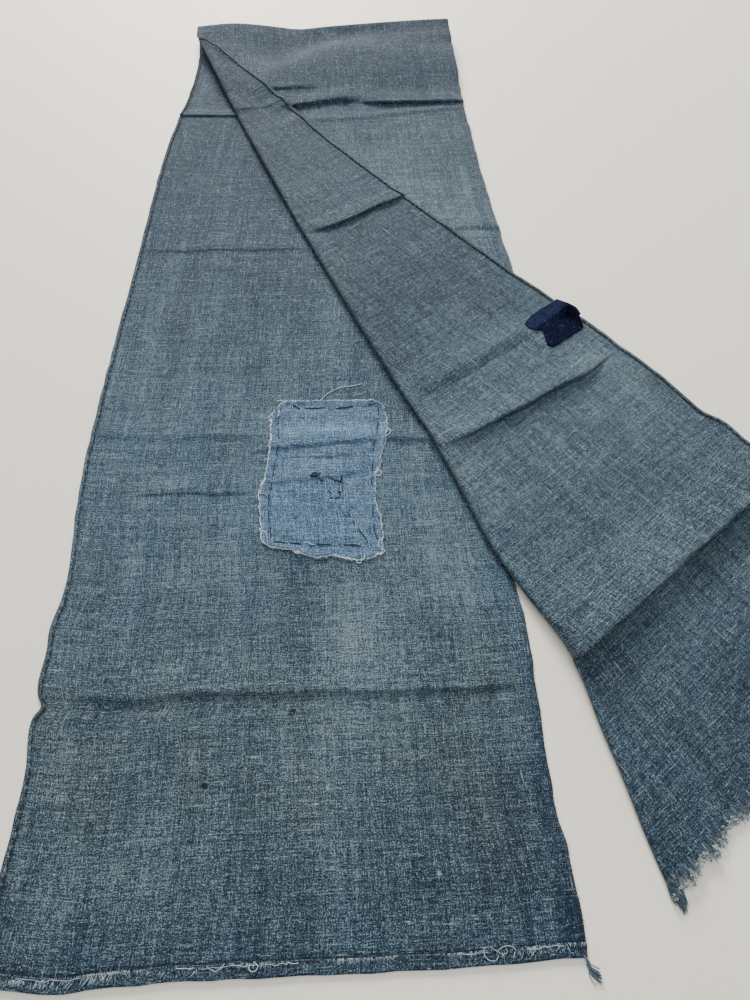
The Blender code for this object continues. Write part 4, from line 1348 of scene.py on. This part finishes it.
# The darn's knots, as loops of thread: points of u, v, one after another.
PATCH_KNOTS = (
    (0.1905, 0.3462, 0.1925, 0.3494, 0.1952, 0.3501, 0.1968, 0.3478, 0.1938, 0.3459, 0.1915, 0.3470),
    (0.1900, 0.3480, 0.1930, 0.3465, 0.1955, 0.3490, 0.1925, 0.3502, 0.1912, 0.3478, 0.1950, 0.3470),
    (0.1940, 0.3462, 0.1975, 0.3485, 0.1992, 0.3500, 0.1978, 0.3455, 0.1990, 0.3418, 0.2010, 0.3428),
    (0.2062, 0.3448, 0.2082, 0.3436, 0.2090, 0.3420, 0.2112, 0.3425, 0.2130, 0.3412, 0.2155, 0.3404),
    (0.2085, 0.3446, 0.2105, 0.3414, 0.2125, 0.3424, 0.2145, 0.3400, 0.2160, 0.3440, 0.2166, 0.3482),
    (0.2048, 0.3322, 0.2060, 0.3300, 0.2072, 0.3284, 0.2060, 0.3262, 0.2062, 0.3242, 0.2085, 0.3236),
    (0.2100, 0.3243, 0.2118, 0.3238, 0.2136, 0.3244, 0.2142, 0.3270, 0.2130, 0.3308, 0.2150, 0.3292),
)


PATCH_FACE = 0.0004


def on_patch(u, v, lift):
    """Point a lift above the patch's own face, at a place given on the cloth."""
    return cloth_point(u, v, PATCH_LIFT + PATCH_FACE + lift)


rng = np.random.default_rng(61)
stitches = np.array(PATCH_STITCHES)
s = np.linspace(0.0, 1.0, 12)
u = stitches[:, 0:1] + (stitches[:, 2:3] - stitches[:, 0:1]) * s
v = stitches[:, 1:2] + (stitches[:, 3:4] - stitches[:, 1:2]) * s
number = np.arange(len(stitches))[:, None]
u = u + 0.0004 * waver(v * 1.7 + u + number, 0.004, 62)
v = v + 0.0004 * waver(u * 1.7 + v + number, 0.004, 63)
lift = SEWING_THREAD * 0.5 + 0.00015 * np.sin(math.pi * s) - 0.0006 * np.abs(2.0 * s - 1.0) ** 10
stitch_paths = on_patch(u, v, np.broadcast_to(lift, u.shape))
knots = np.array([rounded(points, 12) for points in PATCH_KNOTS])
knot_lift = 0.0005 + 0.0004 * np.sin(np.linspace(0.0, 9.0, 12)) * np.ones((len(knots), 1))
knot_paths = on_patch(knots[..., 0], knots[..., 1], knot_lift)
paths = np.concatenate([stitch_paths, knot_paths])
radius = np.full(paths.shape[:2], PATCH_STITCH_RADIUS)
patch_stitches = thread_mesh("patch_stitches", paths, radius, rng.uniform(0.0, 0.3, len(paths)))
patch_stitches.data.materials.append(DARK_THREAD)


# The patch's frayed edge: pale cut ends all round, two loose edge threads a side that
# wander along the cut, and curls of thread. The last one lies on the cloth past the patch.

PATCH_FRAYS = 2600
PATCH_FRAY_LENGTH = 0.0026
PATCH_FRAY_RADIUS = 0.00024
PATCH_EDGE_RADIUS = 0.00052
PATCH_CURL_RADIUS = 0.00038
# Its curls: points of u, v, one after another.
PATCH_CURLS = (
    (0.1636, 0.4282, 0.1541, 0.4146, 0.1525, 0.4099, 0.1545, 0.4066, 0.1581, 0.4073, 0.1613, 0.4192),
    (0.1577, 0.4299, 0.1613, 0.4308, 0.1651, 0.4281, 0.1680, 0.4286, 0.1705, 0.4278, 0.1725, 0.4265),
    (0.1492, 0.2957, 0.1519, 0.2941, 0.1536, 0.2914, 0.1527, 0.2884, 0.1501, 0.2880, 0.1487, 0.2904),
    (0.1490, 0.2880, 0.1501, 0.2865, 0.1528, 0.2830, 0.1553, 0.2823, 0.1573, 0.2848, 0.1600, 0.2815),
    (0.1916, 0.2814, 0.1883, 0.2815, 0.1851, 0.2835, 0.1805, 0.2830, 0.1777, 0.2773, 0.1747, 0.2757),
    (0.1747, 0.2757, 0.1760, 0.2738, 0.1790, 0.2740, 0.1811, 0.2750, 0.1822, 0.2770, 0.1800, 0.2776),
    (0.2092, 0.2705, 0.2123, 0.2686, 0.2161, 0.2688, 0.2192, 0.2672, 0.2225, 0.2685, 0.2245, 0.2665),
    (0.2255, 0.2655, 0.2289, 0.2683, 0.2278, 0.2705, 0.2245, 0.2692, 0.2223, 0.2649, 0.2260, 0.2640),
    (0.2461, 0.2862, 0.2423, 0.2826, 0.2411, 0.2789, 0.2430, 0.2758, 0.2455, 0.2743, 0.2412, 0.2700),
    (0.2459, 0.3523, 0.2486, 0.3500, 0.2488, 0.3465, 0.2449, 0.3460, 0.2430, 0.3481, 0.2450, 0.3500),
    (0.2545, 0.3960, 0.2568, 0.3950, 0.2591, 0.3920, 0.2566, 0.3894, 0.2545, 0.3880, 0.2528, 0.3866),
    (0.1510, 0.3648, 0.1520, 0.3652, 0.1547, 0.3660, 0.1560, 0.3664, 0.1572, 0.3666, 0.1582, 0.3668),
    (0.1480, 0.3380, 0.1490, 0.3395, 0.1507, 0.3413, 0.1520, 0.3420, 0.1528, 0.3428, 0.1535, 0.3430),
    (0.1958, 0.4297, 0.1993, 0.4345, 0.2036, 0.4393, 0.2153, 0.4458, 0.2227, 0.4466, 0.2330, 0.4492),
)

rng = np.random.default_rng(71)
ring = rng.uniform(0.0, 4.0, PATCH_FRAYS)[:, None]
side, at = np.floor(ring), ring - np.floor(ring)
s = np.linspace(0.0, 1.0, 5)
dense = 0.55 + 0.45 * waver(ring, 0.045, 72)
length = PATCH_FRAY_LENGTH * rng.uniform(0.25, 1.25, PATCH_FRAYS)[:, None] * dense
out = length * s - 0.0009
lean = length * rng.uniform(-1.1, 1.1, PATCH_FRAYS)[:, None] * s * s
edge_a = np.where(side == 0, 0.0, np.where(side == 1, 1.0, at))
edge_b = np.where(side == 2, 0.0, np.where(side == 3, 1.0, at))
edge_u, edge_v = patch_place(edge_a, edge_b)
u = edge_u + np.where(side == 0, -out, np.where(side == 1, out, lean))
v = edge_v + np.where(side == 2, -out, np.where(side == 3, out, lean))
lift = PATCH_LIFT + 0.0004 * rng.random((PATCH_FRAYS, 1))
lift = lift + 0.0006 * rng.normal(size=(PATCH_FRAYS, 1)) * s
fray_paths = cloth_point(u, v, np.maximum(lift, 0.0005))
ring = np.linspace(0.0, 1.0, 260)
none, whole = np.zeros(ring.shape), np.ones(ring.shape)
sides = ((none, ring), (whole, ring), (ring, none), (ring, whole))
edges = np.array([patch_place(a, b) for a, b in sides])
edges = np.concatenate([edges, edges])
number = np.arange(len(edges))[:, None]
wander = 0.0006 * waver(ring + number, 0.012, 73)
rise = PATCH_LIFT + 0.0005 + 0.0003 * waver(ring + number, 0.009, 74)
edge_paths = cloth_point(edges[:, 0] + wander, edges[:, 1] - wander, rise)
curls = np.array([rounded(points, 24) for points in PATCH_CURLS])
curl_lift = PATCH_LIFT + 0.0006 + 0.0005 * np.sin(np.linspace(0.0, 7.0, 24)) * np.ones((len(curls), 1))
curl_lift[-1] = 0.0007
curl_paths = cloth_point(curls[..., 0], curls[..., 1], curl_lift)
fray_radius = tapered(PATCH_FRAY_RADIUS, 1.1, 0.6, s, PATCH_FRAYS)
edge_radius = PATCH_EDGE_RADIUS * (1.0 + 0.45 * waver(ring + number, 0.006, 75))
curl_radius = np.full(curls.shape[:2], PATCH_CURL_RADIUS)
fray_tones = rng.uniform(0.35, 1.0, PATCH_FRAYS)
curl_tones = rng.uniform(0.75, 1.0, len(curls))
groups = (
    ("patch_frays", fray_paths, fray_radius, fray_tones),
    ("patch_edge_threads", edge_paths, edge_radius, np.tile([1.0, 0.75], 4)),
    ("patch_curls", curl_paths, curl_radius, curl_tones),
)
patch_threads = [patch_stitches]
for name, paths, radius, tones in groups:
    threads = thread_mesh(name, paths, radius, tones)
    threads.data.materials.append(PALE_THREAD)
    patch_threads.append(threads)
for threads in patch_threads:
    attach(threads, "root")


# The navy patch: a scrap of deep navy cotton folded over the flap's hem. It lies on the
# face with a notch in its inner end, stands up in a roll over the hem, and is tucked under.

NAVY_UNDER = 0.008
NAVY_OVERHANG = 0.0054
NAVY_CROWN = 0.0085
NAVY_CROWN_REACH = 0.017
NAVY_THICKNESS = 0.0006
# Where along the hem it stands highest, and how far that reaches to both sides.
NAVY_PEAK = 0.7025
NAVY_PEAK_REACH = (0.034, 0.0175)
# Least share of the overhang and of the crown at its two ends.
NAVY_END_SHARES = (0.18, 0.42)
# Soft ridge along it, groove beside its roll: height, place in t, reach.
NAVY_RIDGE = (0.0026, 0.6985, 0.010)
NAVY_GROOVE = (0.0042, 0.699, 0.004)
NAVY_CRUMPLE = 0.0005
NAVY_RAGGED = 0.0005
# Its right end is cut back under the roll: how far, from what t, over what length.
NAVY_CUT_BACK = (0.0140, 0.7020, 0.0236)
# Painted light and shade: shade over the whole face, more light on the far side of the
# ridge, a highlight on the roll, and shade in the cleft.
NAVY_FACE_PAINTED_SHADE = -0.12
NAVY_FAR_SIDE_PAINTED_LIGHT = 0.46
NAVY_ROLL_PAINTED_HIGHLIGHT = 0.38
NAVY_CLEFT_PAINTED_SHADE = -0.95
# Rows under the hem, round it and down its face.
NAVY_ROWS = (4, 14, 45)
# Its inner end: t, distance in from the hem.
NAVY_INNER = (
    (0.6850, 0.0380),
    (0.6875, 0.0485),
    (0.6910, 0.0513),
    (0.6970, 0.0520),
    (0.7003, 0.0495),
    (0.7037, 0.0455),
    (0.7083, 0.0480),
    (0.7141, 0.0525),
    (0.7214, 0.0565),
    (0.7256, 0.0540),
)


def navy_point(t, w):
    """Point of the patch at t, w from 0 at its tail under the hem to 3 at its inner end.

    Up to 1 it lies under the hem, up to 2 it goes round it as half an ellipse, and then it
    comes down from the crown to the flap, with a soft ridge along it and a groove beside
    the roll.
    """
    v = UPPER_STARTS + t
    inner = curve(NAVY_INNER, 1, t)
    angle = math.pi * np.clip(w - 1.0, 0.0, 1.0)
    middle = bump((t - NAVY_PEAK) / np.where(t < NAVY_PEAK, *NAVY_PEAK_REACH))
    low_overhang, low_crown = NAVY_END_SHARES
    overhang = NAVY_OVERHANG * (low_overhang + (1.0 - low_overhang) * middle)
    crown = NAVY_CROWN * (low_crown + (1.0 - low_crown) * middle)
    tail = NAVY_UNDER * np.clip(1.0 - w, 0.0, 1.0)
    over = inner * np.clip(w - 2.0, 0.0, 1.0) ** 1.3
    inward = np.where(w < 1.0, tail, np.where(w < 2.0, -overhang * np.sin(angle), over))
    base = cloth_point(np.maximum(inward, 0.0002), v)
    outward = cloth_point(0.0002, v) - cloth_point(2.0 * NAVY_UNDER, v)
    outward = outward / np.hypot(outward[..., 0], outward[..., 1])[..., None]
    on_hem = cloth_point(-np.clip(over, 0.0007, SIDE_HEM), v)[..., 2]
    covered = np.where(over < SIDE_HEM + 0.0006, np.maximum(base[..., 2], on_hem), base[..., 2])
    rest = covered + THICKNESS / 2.0 + NAVY_THICKNESS
    top = crown + (rest - crown) * ease(over / NAVY_CROWN_REACH)
    top = np.maximum(rest, top)
    rise, place, reach = NAVY_RIDGE
    ridge = rise * bump((t - place) / reach) * (1.0 - ease((over - 0.004) / 0.034))
    depth, place, reach = NAVY_GROOVE
    groove = depth * bump((over - 0.0022) / 0.0042) * ease((t - place) / reach)
    crumple = NAVY_CRUMPLE * swell(over + 0.02, t, 0.007, 81) * ease((over - 0.002) / 0.006)
    top = np.maximum(top + ridge + crumple - groove, rest)
    around = NAVY_THICKNESS + crown * (1.0 - np.cos(angle)) / 2.0
    z = np.where(w < 1.0, NAVY_THICKNESS, np.where(w < 2.0, around, top))
    point = base - np.minimum(inward, 0.0)[..., None] * outward
    point[..., 2] = z
    return point


w = [part + np.linspace(0.0, 1.0, rows + 1)[1:] for part, rows in enumerate(NAVY_ROWS)]
t = np.linspace(NAVY_INNER[0][0], NAVY_INNER[-1][0], 48)
w, t = np.meshgrid(np.concatenate([[0.0], *w]), t)
back, place, reach = NAVY_CUT_BACK
end_cut = back * ease((t - place) / reach) * (1.0 - ease((w - 2.0) / 0.30))
points = navy_point(t - end_cut, w)
# Painted light and shade of its face: the far facet lit, the near facet in shade, a lit strip on the roll
# and shade in the cleft beside it.
far_side = 1.0 - ease((t - 0.6970) / 0.0035)
face = (NAVY_FAR_SIDE_PAINTED_LIGHT * far_side + NAVY_FACE_PAINTED_SHADE) * ease((w - 2.0) / 0.1)
roll = NAVY_ROLL_PAINTED_HIGHLIGHT * bump((w - 1.78) / 0.36) * ease((t - 0.694) / 0.004)
cleft_painted_shade = NAVY_CLEFT_PAINTED_SHADE * bump((w - 2.20) / 0.15) * ease((t - 0.700) / 0.003)
ends = bump((t - t.min()) / 0.002) - bump((t.max() - t) / 0.002)
ragged = NAVY_RAGGED * waver(w * 0.02, 0.0020, 82) * ends
points[..., 1] = points[..., 1] + ragged
navy = grid_mesh(
    "navy_patch_cloth",
    points,
    np.stack([curve(NAVY_INNER, 1, t) * w, t], axis=-1),
    {"fade_and_painted_light": face + roll + cleft_painted_shade, "blue": 0.5},
)
thicken(navy, NAVY_THICKNESS)
NAVY_BLUE = (
    (0.00, 0.0006, 0.0010, 0.0060),
    (0.30, 0.0015, 0.0026, 0.0130),
    (0.60, 0.0032, 0.0055, 0.0240),
    (0.85, 0.0080, 0.0120, 0.0420),
    (1.00, 0.0200, 0.0260, 0.0680),
)
NAVY_NEP = (0.07, 0.09, 0.20, 1.0)
navy.data.materials.append(
    woven_material("navy_cotton", NAVY_BLUE, NAVY_BLUE, NAVY_NEP, 0.3, 0.0, 0.04)
)
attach(navy, "root")
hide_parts("navy_patch")


# Where it is shown: a plain pale floor, soft daylight from the far left and from above, and
# the camera at the photograph's height and angle.

FLOOR_SIZE = 6.0
FLOOR_DEPTH = 0.0003
FLOOR_COLOUR = (0.93, 0.86, 0.73, 1.0)
CAMERA_HEIGHT = 0.500
CAMERA_PITCH = math.radians(55.68)
CAMERA_LENS = 27.04

floor_mesh = bpy.data.meshes.new("floor")
half = FLOOR_SIZE / 2.0
floor_plan = ((-half, -half), (half, -half), (half, half), (-half, half))
floor_mesh.from_pydata([(*corner, -FLOOR_DEPTH) for corner in floor_plan], [], [(0, 1, 2, 3)])
floor = placed("floor", floor_mesh)
floor_paint, _, floor_shader = new_material("floor_paint", 0.6, 0.5, 0.0)
floor_shader.inputs["Base Color"].default_value = FLOOR_COLOUR
floor_mesh.materials.append(floor_paint)


def soft_light(name, place, aim, size, power, colour):
    """Square area light at a place, turned towards its aim."""
    data = bpy.data.lights.new(name, "AREA")
    data.size = size
    data.energy = power
    data.color = colour
    light = placed(name, data)
    light.location = place
    direction = np.array(aim) - np.array(place)
    level = math.hypot(direction[0], direction[1])
    turn = math.atan2(-direction[0], direction[1])
    light.rotation_euler = (math.atan2(level, -direction[2]), 0.0, turn)


soft_light("far_light", (-0.6, 2.7, 1.4), (0.0, 0.1, 0.0), 1.2, 175.0, (1.0, 0.98, 0.94))
soft_light("sky_light", (0.2, -0.6, 2.4), (0.0, -0.1, 0.0), 2.5, 34.0, (0.93, 0.97, 1.0))
world = bpy.data.worlds.new("daylight")
world.use_nodes = True
background = world.node_tree.nodes["Background"]
background.inputs["Color"].default_value = (0.90, 0.93, 0.96, 1.0)
background.inputs["Strength"].default_value = 0.50
bpy.context.scene.world = world

camera_data = bpy.data.cameras.new("camera")
camera_data.lens = CAMERA_LENS
camera_data.clip_start = 0.01
camera = placed("camera", camera_data)
camera.location = (-PLAN_CENTRE[0], -PLAN_CENTRE[1], CAMERA_HEIGHT)
camera.rotation_euler = (math.pi / 2.0 - CAMERA_PITCH, 0.0, 0.0)
bpy.context.scene.camera = camera
